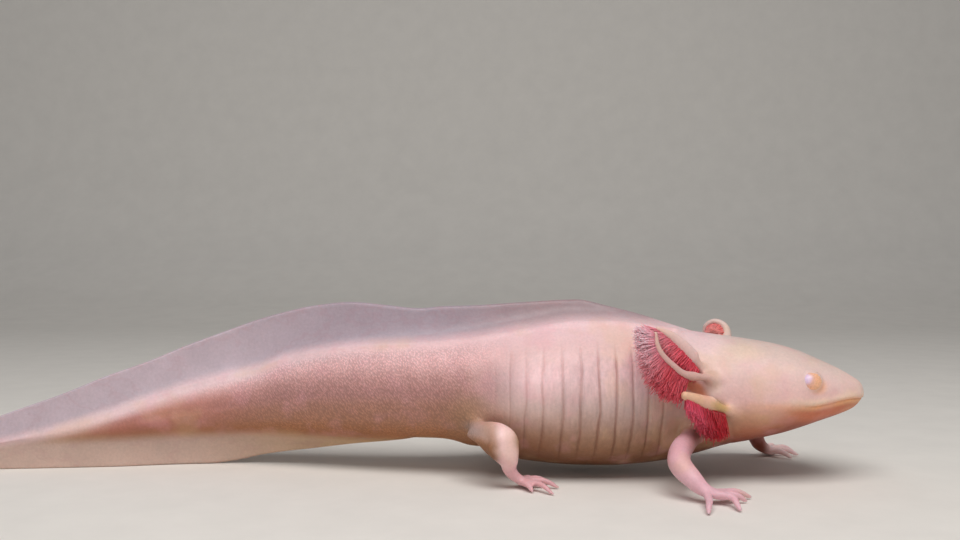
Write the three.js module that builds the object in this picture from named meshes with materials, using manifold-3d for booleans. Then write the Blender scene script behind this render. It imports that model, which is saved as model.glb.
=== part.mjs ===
// A pale axolotl standing on sand with its tail swept round behind it, life size, as a still model.
// Millimetres, +Z up, snout towards +X, the animal's left side towards +Y.

import * as THREE from 'three';
import Module from 'manifold-3d';

const wasm = await Module();
wasm.setup();

// Where the body's own measuring line lies in the model's frame.
const originX = 22.3;
const originY = 2.8;

const partGap = 0.3;
const half = partGap / 2;
const bodySides = 20;
const widestShare = 0.47;
const snoutTip = 99.2;
const fleshEnd = -121;
const finTip = -144;

// Distance between the body's rings, closer together towards the snout.
const ringSteps = [
  { upTo: -10, step: 9.6 }, { upTo: 40, step: 7.5 }, { upTo: 84, step: 5 },
  { upTo: 95, step: 3.2 }, { upTo: Infinity, step: 1.4 },
];

// Lengths of the body, measured along it from the hips (0) towards the snout (+).
const headBack = 64;
const neckBack = 54;
const trunkMiddle = 27;
const trunkBack = 0;
const tailFirstCut = -42;
const tailSecondCut = -84;
const dorsalFinStart = 57;
const ventralFinStart = -20;

// Flesh, from snout to tail: underside, back, half width, and how square the upper half is.
const bodyStations = [
  { at: 99.2, under: 21.9, back: 24.8, half: 2.2, square: 2.0 },
  { at: 98.4, under: 20.4, back: 25.8, half: 4.5, square: 2.1 },
  { at: 96.6, under: 18.8, back: 27.0, half: 7.4, square: 2.2 },
  { at: 92.4, under: 16.9, back: 29.4, half: 10.7, square: 2.3 },
  { at: 87.5, under: 15.1, back: 31.7, half: 13.2, square: 2.4 },
  { at: 83.5, under: 13.6, back: 33.4, half: 14.9, square: 2.4 },
  { at: 77.5, under: 11.6, back: 35.0, half: 16.9, square: 2.4 },
  { at: 70.5, under: 9.7, back: 36.2, half: 17.4, square: 2.3 },
  { at: 64, under: 8.1, back: 37.1, half: 15.9, square: 2.2 },
  { at: 57.5, under: 5.9, back: 38.0, half: 14.8, square: 2.1 },
  { at: 51, under: 4.2, back: 39.1, half: 15.9, square: 2.1 },
  { at: 42.5, under: 2.9, back: 40.3, half: 18.2, square: 2.1 },
  { at: 34, under: 2.3, back: 41.1, half: 19.5, square: 2.1 },
  { at: 26, under: 2.4, back: 41.1, half: 19.7, square: 2.1 },
  { at: 11.5, under: 3.7, back: 39.0, half: 17.7, square: 2.1 },
  { at: 0, under: 7.3, back: 37.0, half: 14.0, square: 2.0 },
  { at: -12, under: 9.2, back: 35.5, half: 11.2, square: 2.0 },
  { at: -34.5, under: 9.3, back: 33.9, half: 9.2, square: 2.0 },
  { at: -53, under: 9.5, back: 30.4, half: 7.8, square: 2.0 },
  { at: -62, under: 9.4, back: 26.9, half: 7.0, square: 2.0 },
  { at: -72, under: 9.1, back: 24.7, half: 6.1, square: 2.0 },
  { at: -82, under: 8.9, back: 21.9, half: 5.1, square: 2.0 },
  { at: -95, under: 8.5, back: 17.6, half: 3.8, square: 2.0 },
  { at: -107, under: 8.2, back: 13.5, half: 2.6, square: 2.0 },
  { at: -121, under: 7.9, back: 9.6, half: 1.1, square: 2.0 },
];

// The middle line seen from above: the trunk runs straight and the tail swings out and back.
const middleStations = [
  { at: -144, side: 6 }, { at: -118, side: 8.5 }, { at: -100, side: 10.5 },
  { at: -84, side: 13.5 }, { at: -68, side: 15 }, { at: -51, side: 12 },
  { at: -34, side: 8 }, { at: -11, side: 4.6 }, { at: 4, side: 4 },
  { at: 30, side: 4 }, { at: 60, side: 2 }, { at: 80, side: -1 }, { at: 101, side: -4 },
];

// Edges of the one fin that runs along the back and round the tail.
const dorsalEdge = [
  { at: -144, height: 5.6 }, { at: -143.2, height: 8.2 }, { at: -138.4, height: 11.2 },
  { at: -130.6, height: 14.5 }, { at: -114, height: 20.4 }, { at: -102.8, height: 25.0 },
  { at: -91.5, height: 29.0 }, { at: -81.7, height: 33.1 }, { at: -72.5, height: 36.5 },
  { at: -61.2, height: 40.5 }, { at: -53.7, height: 42.6 }, { at: -45.6, height: 44.4 },
  { at: -34.9, height: 45.5 }, { at: -25.5, height: 44.8 }, { at: -16.4, height: 44.0 },
  { at: -10.7, height: 44.5 }, { at: 0, height: 44.9 }, { at: 11.5, height: 45.7 },
  { at: 26, height: 46.4 }, { at: 33.8, height: 44.8 }, { at: 42.5, height: 42.6 },
  { at: 51.3, height: 39.8 }, { at: 57, height: 38.2 },
];
const ventralEdge = [
  { at: -144, height: 4.2 }, { at: -143.2, height: 2.2 }, { at: -140, height: 0.7 },
  { at: -134, height: 0 }, { at: -76, height: 0 }, { at: -68, height: 0.9 },
  { at: -61.2, height: 2.5 }, { at: -53.7, height: 3.9 }, { at: -45.6, height: 5.1 },
  { at: -34.9, height: 6.8 }, { at: -25.5, height: 7.9 }, { at: -20, height: 8.5 },
];
const finAxis = [
  { at: -144, height: 4.9 }, { at: -121, height: 8.7 }, { at: -84, height: 14 },
  { at: -34, height: 21 }, { at: 0, height: 24 }, { at: 60, height: 26 },
];
const finRootHalf = 2.0;
const finEdgeHalf = 0.45;
const finThinShare = 0.35;
const finThinHalf = 0.45;
const finTaperLength = 70;
const finTaperLeast = 0.15;

// Mouth line on the side of the head, from the snout back to its corner.
const mouthLine = [
  [103, 21.3], [98, 21.7], [94, 22.1], [90.4, 21.7], [86.6, 21.0], [82.9, 20.6], [77.3, 21.0],
];
const jawBack = 75.5;
const jawReach = 40;

// Each limb: stops from inside the body to the end of the palm or sole, then the tips of its digits.
const limbs = {
  right_arm: {
    names: ['upper_arm_right', 'forearm_right', 'hand_right'],
    cuts: [0.42, 0.74],
    stops: [
      [57.6, -6, 13.8, 3.9, 3.9], [53.2, -14, 12.3, 3.1, 3.3], [49.6, -20, 10.4, 3.0, 3.1],
      [48.4, -24.8, 8.2, 3.0, 3.0], [50.6, -28.2, 5.2, 2.7, 2.5], [52.3, -29.8, 3.4, 2.3, 2.0],
      [53.8, -30.4, 2.4, 2.6, 1.7], [56.2, -30.6, 0.8, 2.6, 1.4],
    ],
    digits: [
      [[53.4, -31.6, 1.9], [52.4, -36.6, 1.7], [51.3, -41.3, 0.5]],
      [[55.6, -31.8, 1.9], [58.8, -34.0, 2.0], [58.9, -38.5, 0.5]],
      [[56.6, -30.8, 1.9], [60.2, -30.2, 2.0], [62.6, -29.4, 0.5]],
      [[56.0, -29.6, 1.8], [60.6, -27.6, 2.1], [64.8, -26.0, 0.5]],
    ],
  },
  left_arm: {
    names: ['upper_arm_left', 'forearm_left', 'hand_left'],
    cuts: [0.4, 0.74],
    stops: [
      [57, 7, 13.8, 3.9, 3.9], [61, 15.4, 13.2, 3.1, 3.3], [67, 20.4, 12.2, 2.9, 3.1],
      [73.6, 22, 10.2, 2.8, 2.8], [78.6, 22.8, 6.6, 2.4, 2.4], [80.6, 23.8, 3.2, 2.6, 1.9],
      [83.6, 25.4, 1.0, 3.0, 1.5],
    ],
    digits: [
      [[83.6, 23.6, 1.4], [86.4, 21.3, 1.8], [88.6, 19.4, 0.5]],
      [[84.4, 24.8, 1.4], [88.4, 24.2, 1.8], [91.8, 24.0, 0.5]],
      [[84.4, 26.4, 1.4], [88.5, 28.5, 1.8], [92.2, 30.6, 0.5]],
      [[83.0, 27.6, 1.4], [86.2, 31.8, 1.7], [88.8, 35.6, 0.5]],
    ],
  },
  right_leg: {
    names: ['thigh_right', 'shin_right', 'foot_right'],
    cuts: [0.43, 0.76],
    stops: [
      [0.0, -2, 14.4, 3.2, 3.0], [-0.4, -9.6, 14.9, 3.0, 2.7], [3.6, -15.0, 14.6, 2.9, 3.1],
      [6.3, -17.4, 12.4, 2.8, 3.7], [6.4, -17.4, 9.4, 2.4, 3.3], [6.9, -16.4, 6.4, 2.0, 2.2],
      [8.2, -15.4, 3.4, 2.0, 1.7], [11.0, -14.6, 0.8, 2.5, 1.4],
    ],
    digits: [
      [[10.2, -13.2, 1.4], [12.2, -10.4, 1.6], [13.8, -8.4, 0.45]],
      [[11.2, -13.8, 1.5], [14.6, -12.2, 1.8], [17.6, -11.2, 0.45]],
      [[11.6, -14.6, 1.5], [15.8, -15.2, 1.9], [19.6, -16.0, 0.45]],
      [[11.4, -15.6, 1.5], [14.8, -19.2, 1.9], [17.8, -22.8, 0.45]],
      [[10.2, -16.0, 1.5], [11.8, -18.6, 1.6], [13.0, -20.6, 0.45]],
    ],
  },
  left_leg: {
    names: ['thigh_left', 'shin_left', 'foot_left'],
    cuts: [0.43, 0.76],
    stops: [
      [1.0, 10, 14.4, 3.2, 3.0], [1.6, 17.8, 14.9, 3.0, 2.7], [6.8, 23.4, 14.6, 2.9, 3.1],
      [10.2, 25.8, 12.4, 2.8, 3.6], [10.9, 26.2, 9.4, 2.4, 3.2], [11.9, 26.6, 6.4, 2.0, 2.2],
      [13.4, 27.4, 3.4, 2.0, 1.7], [16.6, 28.4, 0.9, 2.6, 1.4],
    ],
    digits: [
      [[15.6, 26.8, 1.3], [17.4, 24.6, 1.5], [19.0, 22.8, 0.45]],
      [[16.6, 27.2, 1.3], [19.8, 25.6, 1.7], [22.8, 24.4, 0.45]],
      [[17.2, 28.4, 1.3], [21.0, 28.6, 1.8], [24.8, 28.8, 0.45]],
      [[16.8, 29.6, 1.3], [20.2, 31.6, 1.7], [23.2, 33.4, 0.45]],
      [[15.6, 30.0, 1.3], [17.2, 32.6, 1.5], [18.6, 34.8, 0.45]],
    ],
  },
};
const limbSides = 10;
const limbSteps = [5, 5, 4];
const clearanceSteps = 16;
const limbGapShare = 0.012;
const digitSides = 5;
const digitRoot = 1.1;
const digitBend = 0.9;
const digitTip = 0.52;
const digitSteps = 3;
const frameSteps = 24;

// Gills: a stalk from root to tip, then the lie and length of its filaments at root, middle and tip.
const gills = {
  gill_right_top: {
    stops: [
      [60.5, -7.5, 27.8, 2.6, 2.2], [56.0, -11.8, 29.9, 1.5, 1.75], [53.6, -13.2, 32.7, 1.2, 1.75],
      [50.6, -14.5, 35.7, 1.1, 1.65], [47.5, -15.5, 38.2, 0.95, 1.3], [44.2, -16.2, 40.0, 0.55, 0.6],
    ],
    lie: [[-0.5, 0, -0.85], [-0.8, 0, -0.55], [-1, 0, 0.1]],
    length: [3.4, 4.6, 5.2, 5.0, 4.8],
    side: -1,
  },
  gill_right_middle: {
    stops: [
      [61.5, -10.4, 26.8, 2.5, 2.5], [55.6, -14.6, 27.8, 1.45, 1.5], [50.6, -17.8, 28.9, 1.0, 0.95],
      [47.4, -19.5, 31.2, 0.85, 0.8], [44.6, -20.6, 33.9, 0.8, 0.75], [43.2, -20.8, 36.4, 0.75, 0.7],
      [42.9, -20.2, 39.2, 0.5, 0.5],
    ],
    lie: [[-0.5, 0, -0.85], [-0.74, 0, -0.66], [-0.93, 0, 0.36]],
    length: [7.4, 7.1, 6.4, 4.8, 5.2],
    side: -1,
  },
  gill_right_low: {
    stops: [
      [67.0, -12.2, 18.4, 1.5, 1.5], [63.6, -14.2, 19.4, 1.6, 1.7], [60.6, -15.6, 20.3, 1.7, 1.8],
      [57.9, -16.8, 21.1, 1.7, 2.0], [55.2, -18.2, 21.8, 1.5, 1.85], [52.7, -19.4, 23.1, 1.3, 1.4],
      [50.3, -20.1, 24.0, 1.05, 1.05],
    ],
    lie: [[0, 0, -1], [0.06, 0, -1], [0.12, 0, -1]],
    length: [5.2, 7.0, 7.2, 6.4, 5.4],
    side: -1,
  },
  gill_left_top: {
    stops: [
      [65.4, 11.6, 31.0, 2.2, 1.7], [69.4, 17.2, 34.8, 1.6, 1.3], [69.6, 20.2, 37.8, 1.2, 1.1],
      [67.2, 21.8, 39.2, 1.0, 0.9], [64.9, 22.8, 38.0, 0.8, 0.75], [64.3, 23.2, 35.6, 0.6, 0.6],
    ],
    lie: [[-0.9, 0, 0.1], [-0.35, 0, -0.9], [0.3, 0, -0.95]],
    length: [3.0, 3.6, 3.8, 3.3, 2.8],
    side: 1,
  },
  gill_left_middle: {
    stops: [
      [61.5, 14.2, 26.8, 2.5, 2.5], [55.6, 18.6, 27.5, 1.5, 1.5], [51.2, 22.0, 28.5, 1.05, 1.05],
      [46.8, 25.2, 31.2, 0.85, 0.8], [44.2, 26.4, 34.0, 0.75, 0.7], [43.4, 26.2, 36.6, 0.5, 0.5],
    ],
    lie: [[-0.5, 0, -0.85], [-0.74, 0, -0.66], [-0.95, 0, 0.2]],
    length: [7.4, 7.1, 6.4, 5.2, 5.0],
    side: 1,
  },
  gill_left_low: {
    stops: [
      [67.0, 15.0, 18.4, 1.5, 1.5], [63.6, 17.4, 19.4, 1.6, 1.7], [60.6, 19.2, 20.3, 1.7, 1.8],
      [57.9, 20.7, 21.1, 1.7, 2.0], [55.2, 22.4, 21.8, 1.5, 1.85], [52.7, 23.9, 23.1, 1.3, 1.4],
      [50.3, 24.7, 24.0, 1.05, 1.05],
    ],
    lie: [[0, 0, -1], [0.06, 0, -1], [0.12, 0, -1]],
    length: [5.2, 7.0, 7.2, 6.4, 5.4],
    side: 1,
  },
};
const gillSides = 6;
const gillSteps = 5;
const filamentsPerRow = 7;
const filamentRoot = 0.5;
const filamentTip = 0.28;
const filamentFirst = 0.24;
const filamentLast = 0.985;
const filamentFan = 0.32;
const filamentLift = 0.06;
const innerFanShare = 0.4;
const innerLengthShare = 0.85;

// Half the side of a block that holds the whole animal.
const roomSize = 200;

const eyeRadius = 2.5;
const eyeAlong = 83.0;
const eyeHeight = 26.7;
const eyeInset = 1.9;
const eyeBands = 6;
const eyeSides = 10;

const colours = {
  head: 0xe4cec2,
  jaw: 0xd9b79c,
  trunk: 0xdfc4ba,
  tail: 0xb98480,
  fin: 0xb0a0a6,
  lowerFin: 0xaa987d,
  limb: 0xdcb4b9,
  gill: 0xb8354f,
  eye: 0xd9a48f,
};

// Smooth value through the stations: cubic pieces whose slopes are the stations' mean slopes.
function along(stations, at, key) {
  const list = stations[0].at < stations[stations.length - 1].at ? stations : [...stations].reverse();
  const last = list.length - 1;
  if (at <= list[0].at) return list[0][key];
  if (at >= list[last].at) return list[last][key];
  let i = 0;
  while (at > list[i + 1].at) i += 1;
  const rise = (j) => (list[j + 1][key] - list[j][key]) / (list[j + 1].at - list[j].at);
  const slope = (j) => {
    if (j === 0) return rise(0);
    if (j === last) return rise(last - 1);
    if (rise(j - 1) * rise(j) <= 0) return 0;
    return 2 * rise(j - 1) * rise(j) / (rise(j - 1) + rise(j));
  };
  const width = list[i + 1].at - list[i].at;
  const t = (at - list[i].at) / width;
  return list[i][key] * (1 + 2 * t) * (1 - t) ** 2
    + slope(i) * width * t * (1 - t) ** 2
    + list[i + 1][key] * t * t * (3 - 2 * t)
    + slope(i + 1) * width * t * t * (t - 1);
}

const middle = (at) => along(middleStations, at, 'side');

function toFrame(point) {
  return [point[0] + originX, point[1] + originY, point[2]];
}

// Closed solid through rings of equal count, ends filled flat.
function loft(rings) {
  const count = rings[0].length;
  const positions = rings.flat().flatMap(toFrame);
  const faces = [];
  for (let r = 0; r < rings.length - 1; r += 1) {
    for (let k = 0; k < count; k += 1) {
      const next = (k + 1) % count;
      const a = r * count + k;
      const b = r * count + next;
      const c = (r + 1) * count + k;
      const d = (r + 1) * count + next;
      faces.push(a, b, d, a, d, c);
    }
  }
  const end = (rings.length - 1) * count;
  for (let k = 1; k < count - 1; k += 1) {
    faces.push(0, k + 1, k);
    faces.push(end, end + k, end + k + 1);
  }
  return toSolid(positions, faces);
}

function toSolid(positions, faces) {
  const mesh = new wasm.Mesh({
    numProp: 3,
    vertProperties: Float32Array.from(positions),
    triVerts: Uint32Array.from(faces),
  });
  const solid = new wasm.Manifold(mesh);
  if (solid.volume() > 0) return solid;
  const turned = new wasm.Mesh({
    numProp: 3,
    vertProperties: Float32Array.from(positions),
    triVerts: Uint32Array.from(faces).reverse(),
  });
  return new wasm.Manifold(turned);
}

// Flesh outline at one place: a superellipse whose widest level lies a little below the middle.
function fleshRing(at, grow) {
  const under = along(bodyStations, at, 'under') - grow;
  const back = along(bodyStations, at, 'back') + grow;
  const half = along(bodyStations, at, 'half') + grow;
  const square = along(bodyStations, at, 'square');
  const widest = under + widestShare * (back - under);
  const ring = [];
  for (let k = 0; k < bodySides; k += 1) {
    const angle = (k / bodySides) * 2 * Math.PI;
    const across = Math.cos(angle);
    const up = Math.sin(angle);
    const power = 2 / (up > 0 ? square : 2);
    const reach = up > 0 ? back - widest : widest - under;
    ring.push([
      at,
      middle(at) + half * Math.sign(across) * Math.abs(across) ** power,
      widest + reach * Math.sign(up) * Math.abs(up) ** power,
    ]);
  }
  return ring;
}

// Places of the rings between two ends.
function placesBetween(from, to) {
  const places = [from];
  let at = from;
  while (at < to) {
    const { step } = ringSteps.find(({ upTo }) => at < upTo);
    at += step;
    if (at < to - 0.35 * step) places.push(at);
  }
  places.push(to);
  return places;
}

function flesh(from, to, grow) {
  return loft(placesBetween(from, to).map((at) => fleshRing(at, grow)));
}

// One blade of the fin, from the body's axis out to its edge, thinner towards the edge.
function finBlade(from, to, edge, side) {
  const rings = placesBetween(from, to).map((at) => {
    const root = along(finAxis, at, 'height') + side * partGap / 2;
    const tip = along(edge, at, 'height');
    const body = along(bodyStations, at, side > 0 ? 'back' : 'under');
    const inside = side > 0 ? Math.max(root, body) : Math.min(root, body);
    const ring = [];
    const levels = [root, inside, inside + finThinShare * (tip - inside), tip];
    const halves = [1, 1, finThinHalf, 0];
    const halfAt = (i) => finEdgeHalf + (finRootHalf - finEdgeHalf) * halves[i] * taper(at);
    levels.forEach((level, i) => ring.push([at, middle(at) + halfAt(i), level]));
    [...levels].reverse().forEach((level, i) => {
      ring.push([at, middle(at) - halfAt(levels.length - 1 - i), level]);
    });
    return ring;
  });
  return loft(rings);
}

// Share of the fin's full root thickness left towards the tail's end.
function taper(at) {
  return Math.min(1, Math.max(finTaperLeast, (at - finTip) / finTaperLength));
}

// Heading and level crosswise direction at t, carried back without twist from the path's far end.
function framesAlong(path, t) {
  const forward = path.getTangent(1);
  const across = new THREE.Vector3().crossVectors(forward, new THREE.Vector3(0, 0, 1)).normalize();
  for (let n = 1; n <= frameSteps; n += 1) {
    forward.copy(path.getTangent(1 + (t - 1) * (n / frameSteps)));
    across.addScaledVector(forward, -across.dot(forward)).normalize();
  }
  return { forward, across };
}

// Round tapering limb along a smooth path: [x, y, z, half width, half height] for each stop.
function limbRings(stops, sides, from, to, count, grow = 0) {
  const path = new THREE.CatmullRomCurve3(stops.map((s) => new THREE.Vector3(s[0], s[1], s[2])));
  const rings = [];
  for (let r = 0; r <= count; r += 1) {
    const t = from + (to - from) * (r / count);
    const centre = path.getPoint(t);
    const { forward, across } = framesAlong(path, t);
    const raise = new THREE.Vector3().crossVectors(across, forward);
    const place = t * (stops.length - 1);
    const i = Math.min(stops.length - 2, Math.floor(place));
    const wide = stops[i][3] + (stops[i + 1][3] - stops[i][3]) * (place - i) + grow;
    const high = stops[i][4] + (stops[i + 1][4] - stops[i][4]) * (place - i) + grow;
    const ring = [];
    for (let k = 0; k < sides; k += 1) {
      const angle = (k / sides) * 2 * Math.PI;
      const p = centre.clone()
        .addScaledVector(across, wide * Math.cos(angle))
        .addScaledVector(raise, high * Math.sin(angle));
      ring.push([p.x, p.y, p.z]);
    }
    rings.push(ring);
  }
  return rings;
}

function limb(stops, sides, from, to, count, grow = 0) {
  return loft(limbRings(stops, sides, from, to, count, grow));
}

// Straight-sided block between two corners.
function block(low, high) {
  const corners = [[low[0], low[1]], [high[0], low[1]], [high[0], high[1]], [low[0], high[1]]];
  const ring = (z) => corners.map(([x, y]) => [x, y, z]);
  return loft([ring(low[2]), ring(high[2])]);
}

// Everything under the mouth line and ahead of the jaw's back edge.
function jawRegion(raise) {
  const back = jawBack - raise;
  const line = mouthLine.map(([at, height]) => [at, height + raise]);
  const outline = [...line, [back, mouthLine[mouthLine.length - 1][1] + raise], [back, 0], [line[0][0], 0]];
  return loft([-jawReach, jawReach].map((side) => outline.map(([at, height]) => [at, side, height])));
}

// Largest piece of a solid, which drops crumbs left by a cut.
function mainPiece(solid) {
  return solid.decompose().sort((a, b) => b.volume() - a.volume())[0];
}

// Straight blend through evenly spaced values, numbers or lists of numbers.
function mix(values, t) {
  const place = t * (values.length - 1);
  const i = Math.min(values.length - 2, Math.floor(place));
  const share = place - i;
  if (typeof values[0] === 'number') return values[i] + (values[i + 1] - values[i]) * share;
  return values[i].map((value, n) => value + (values[i + 1][n] - value) * share);
}

// A gill: its stalk with two rows of filaments along the hind side.
function gill({ stops, lie, length, side }, grow) {
  const path = new THREE.CatmullRomCurve3(stops.map((s) => new THREE.Vector3(s[0], s[1], s[2])));
  const pieces = [limb(stops, gillSides, 0, 1, gillSteps, grow)];
  for (const row of [-1, 1]) {
    for (let n = 0; n < filamentsPerRow; n += 1) {
      const share = n / (filamentsPerRow - 1);
      const root = path.getPoint(filamentFirst + (filamentLast - filamentFirst) * share);
      const way = new THREE.Vector3(...mix(lie, share)).normalize();
      way.y += side * (row > 0 ? filamentFan : -innerFanShare * filamentFan);
      const reach = mix(length, share) * (row > 0 ? 1 : innerLengthShare);
      const bend = root.clone().addScaledVector(way, reach * 0.5);
      bend.z += filamentLift * reach;
      const end = root.clone().addScaledVector(way, reach);
      pieces.push(limb([
        [...root.toArray(), filamentRoot, filamentRoot],
        [...bend.toArray(), filamentRoot * 0.8, filamentRoot * 0.8],
        [...end.toArray(), filamentTip, filamentTip],
      ], 3, 0, 1, 2, grow));
    }
  }
  return wasm.Manifold.union(pieces);
}

function digit(points, grow) {
  const [root, bend, tip] = points;
  return limb([
    [...root, digitRoot, digitRoot],
    [...bend, digitBend, digitBend],
    [...tip, digitTip, digitTip],
  ], digitSides, 0, 1, digitSteps, grow);
}

const group = new THREE.Group();
group.name = 'axolotl';

function addPart(name, solid, colour, roughness) {
  const { vertProperties, triVerts } = solid.getMesh();
  const geometry = new THREE.BufferGeometry();
  geometry.setAttribute('position', new THREE.BufferAttribute(Float32Array.from(vertProperties), 3));
  geometry.setIndex([...triVerts]);
  geometry.computeVertexNormals();
  const material = new THREE.MeshStandardMaterial({ color: colour, roughness, metalness: 0 });
  const mesh = new THREE.Mesh(geometry, material);
  mesh.name = name;
  group.add(mesh);
}

const aboveFloor = block([-roomSize, -roomSize, 0], [roomSize, roomSize, roomSize]);
const bodyClearance = flesh(fleshEnd, snoutTip, partGap);

// Round ball from rings of latitude, its poles closed by small flats.
function ball(centre, radius) {
  const rings = [];
  for (let r = 0; r < eyeBands; r += 1) {
    const latitude = Math.PI * (r + 0.5) / eyeBands;
    const ring = [];
    for (let k = 0; k < eyeSides; k += 1) {
      const angle = (k / eyeSides) * 2 * Math.PI;
      ring.push([
        centre[0] + radius * Math.sin(latitude) * Math.cos(angle),
        centre[1] + radius * Math.sin(latitude) * Math.sin(angle),
        centre[2] - radius * Math.cos(latitude),
      ]);
    }
    rings.push(ring);
  }
  return loft(rings);
}

// Head with its jaw and eyes.
const skull = flesh(headBack + half, snoutTip, 0);
const eyeCentre = (side) => [
  eyeAlong,
  middle(eyeAlong) + side * (along(bodyStations, eyeAlong, 'half') - eyeInset),
  eyeHeight,
];
const sockets = [-1, 1].map((side) => ball(eyeCentre(side), eyeRadius + partGap));
addPart('head', mainPiece(skull.subtract(jawRegion(partGap)).subtract(wasm.Manifold.union(sockets))),
  colours.head, 0.42);
addPart('lower_jaw', mainPiece(skull.intersect(jawRegion(0))), colours.jaw, 0.42);
addPart('eye_right', ball(eyeCentre(-1), eyeRadius), colours.eye, 0.12);
addPart('eye_left', ball(eyeCentre(1), eyeRadius), colours.eye, 0.12);

// Neck, trunk and tail.
addPart('neck', flesh(neckBack + half, headBack - half, 0), colours.trunk, 0.45);
addPart('trunk_front', flesh(trunkMiddle + half, neckBack - half, 0), colours.trunk, 0.45);
addPart('trunk_rear', flesh(trunkBack + half, trunkMiddle - half, 0), colours.trunk, 0.45);
addPart('tail_base', flesh(tailFirstCut + half, trunkBack - half, 0), colours.tail, 0.5);
addPart('tail_middle', flesh(tailSecondCut + half, tailFirstCut - half, 0), colours.tail, 0.5);
addPart('tail_end', flesh(fleshEnd, tailSecondCut - half, 0), colours.tail, 0.5);

// The fin, in lengths that end where the tail's do.
const fins = [
  ['fin_back', trunkBack + half, dorsalFinStart, dorsalEdge, 1, colours.fin],
  ['fin_tail_top_front', tailFirstCut + half, trunkBack - half, dorsalEdge, 1, colours.fin],
  ['fin_tail_top_middle', tailSecondCut + half, tailFirstCut - half, dorsalEdge, 1, colours.fin],
  ['fin_tail_top_end', finTip, tailSecondCut - half, dorsalEdge, 1, colours.fin],
  ['fin_tail_under_front', tailFirstCut + half, ventralFinStart, ventralEdge, -1, colours.lowerFin],
  ['fin_tail_under_middle', tailSecondCut + half, tailFirstCut - half, ventralEdge, -1, colours.lowerFin],
  ['fin_tail_under_end', finTip, tailSecondCut - half, ventralEdge, -1, colours.lowerFin],
];
for (const [name, from, to, edge, side, colour] of fins) {
  const blade = finBlade(from, to, edge, side).subtract(bodyClearance);
  addPart(name, mainPiece(blade), colour, 0.5);
}

// Arms and legs.
const limbClearances = [];
for (const { names, cuts, stops, digits } of Object.values(limbs)) {
  const ends = [0, ...cuts.flatMap((cut) => [cut - limbGapShare / 2, cut + limbGapShare / 2]), 1];
  const piece = (n, grow) => limb(stops, limbSides, ends[2 * n], ends[2 * n + 1], limbSteps[n], grow);
  names.forEach((name, n) => {
    let solid = piece(n, 0);
    if (n === 2) solid = wasm.Manifold.union([solid, ...digits.map((points) => digit(points, 0))]);
    if (n === 1) solid = solid.subtract(piece(0, partGap));
    solid = solid.subtract(bodyClearance).intersect(aboveFloor);
    addPart(name, mainPiece(solid), colours.limb, 0.42);
  });
  limbClearances.push(limb(stops, limbSides, 0, 1, clearanceSteps, partGap));
}

// Gills, each kept clear of the body, the limbs and the gills before it.
let taken = wasm.Manifold.union([bodyClearance, ...limbClearances]);
for (const [name, spec] of Object.entries(gills)) {
  addPart(name, mainPiece(gill(spec, 0).subtract(taken)), colours.gill, 0.4);
  taken = taken.add(gill(spec, partGap));
}

export default group;
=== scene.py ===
import math

import bpy
import numpy as np
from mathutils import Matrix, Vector


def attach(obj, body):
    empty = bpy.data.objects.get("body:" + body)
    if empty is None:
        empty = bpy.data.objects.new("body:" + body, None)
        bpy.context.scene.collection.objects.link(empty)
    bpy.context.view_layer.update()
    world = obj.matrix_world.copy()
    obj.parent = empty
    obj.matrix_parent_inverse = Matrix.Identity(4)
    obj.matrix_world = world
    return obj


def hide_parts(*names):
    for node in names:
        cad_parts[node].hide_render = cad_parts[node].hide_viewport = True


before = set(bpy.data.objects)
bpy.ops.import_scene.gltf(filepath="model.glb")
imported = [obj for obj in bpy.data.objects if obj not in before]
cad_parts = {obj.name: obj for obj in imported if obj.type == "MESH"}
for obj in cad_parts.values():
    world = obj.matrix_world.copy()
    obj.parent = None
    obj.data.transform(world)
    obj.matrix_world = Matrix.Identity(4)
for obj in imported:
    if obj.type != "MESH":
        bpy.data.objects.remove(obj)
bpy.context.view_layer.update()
print("stage 1: frame loaded")

mm = 0.001
origin = np.array([22.3, 2.8, 0.0])      # where the body's own measuring line lies in the model, mm

cameraSettings = {
    "place": (22.3, -265.2, 60.0),       # mm
    "pitch": 1.2,                        # degrees below level
    "lens": 38.06,
}


def smoothStep(low, high, value):
    # 3t^2 - 2t^3 of the share t of the way from low to high, held at 0 and 1 outside
    t = np.clip((value - low) / (high - low), 0.0, 1.0)
    return t * t * (3.0 - 2.0 * t)


def bell(value, centre, width):
    # exp(-((value - centre) / width)^2)
    return np.exp(-(((value - centre) / width) ** 2))


def stationCurve(places, values, at):
    # cubic between stations whose slopes are the harmonic mean of the two neighbouring rises, 0 at a peak
    p = np.asarray(places, float)
    v = np.asarray(values, float)
    order = np.argsort(p)
    p, v = p[order], v[order]
    gap = np.diff(p)
    rise = np.diff(v) / gap
    slope = np.empty_like(v)
    slope[0], slope[-1] = rise[0], rise[-1]
    both = rise[:-1] * rise[1:]
    total = np.where(np.abs(rise[:-1] + rise[1:]) < 1e-12, 1.0, rise[:-1] + rise[1:])
    slope[1:-1] = np.where(both > 0, 2.0 * both / total, 0.0)
    at = np.clip(np.asarray(at, float), p[0], p[-1])
    i = np.clip(np.searchsorted(p, at, side="right") - 1, 0, len(p) - 2)
    w = gap[i]
    t = (at - p[i]) / w
    return (v[i] * (1 + 2 * t) * (1 - t) ** 2 + slope[i] * w * t * (1 - t) ** 2
            + v[i + 1] * t * t * (3 - 2 * t) + slope[i + 1] * w * t * t * (t - 1))


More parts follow.
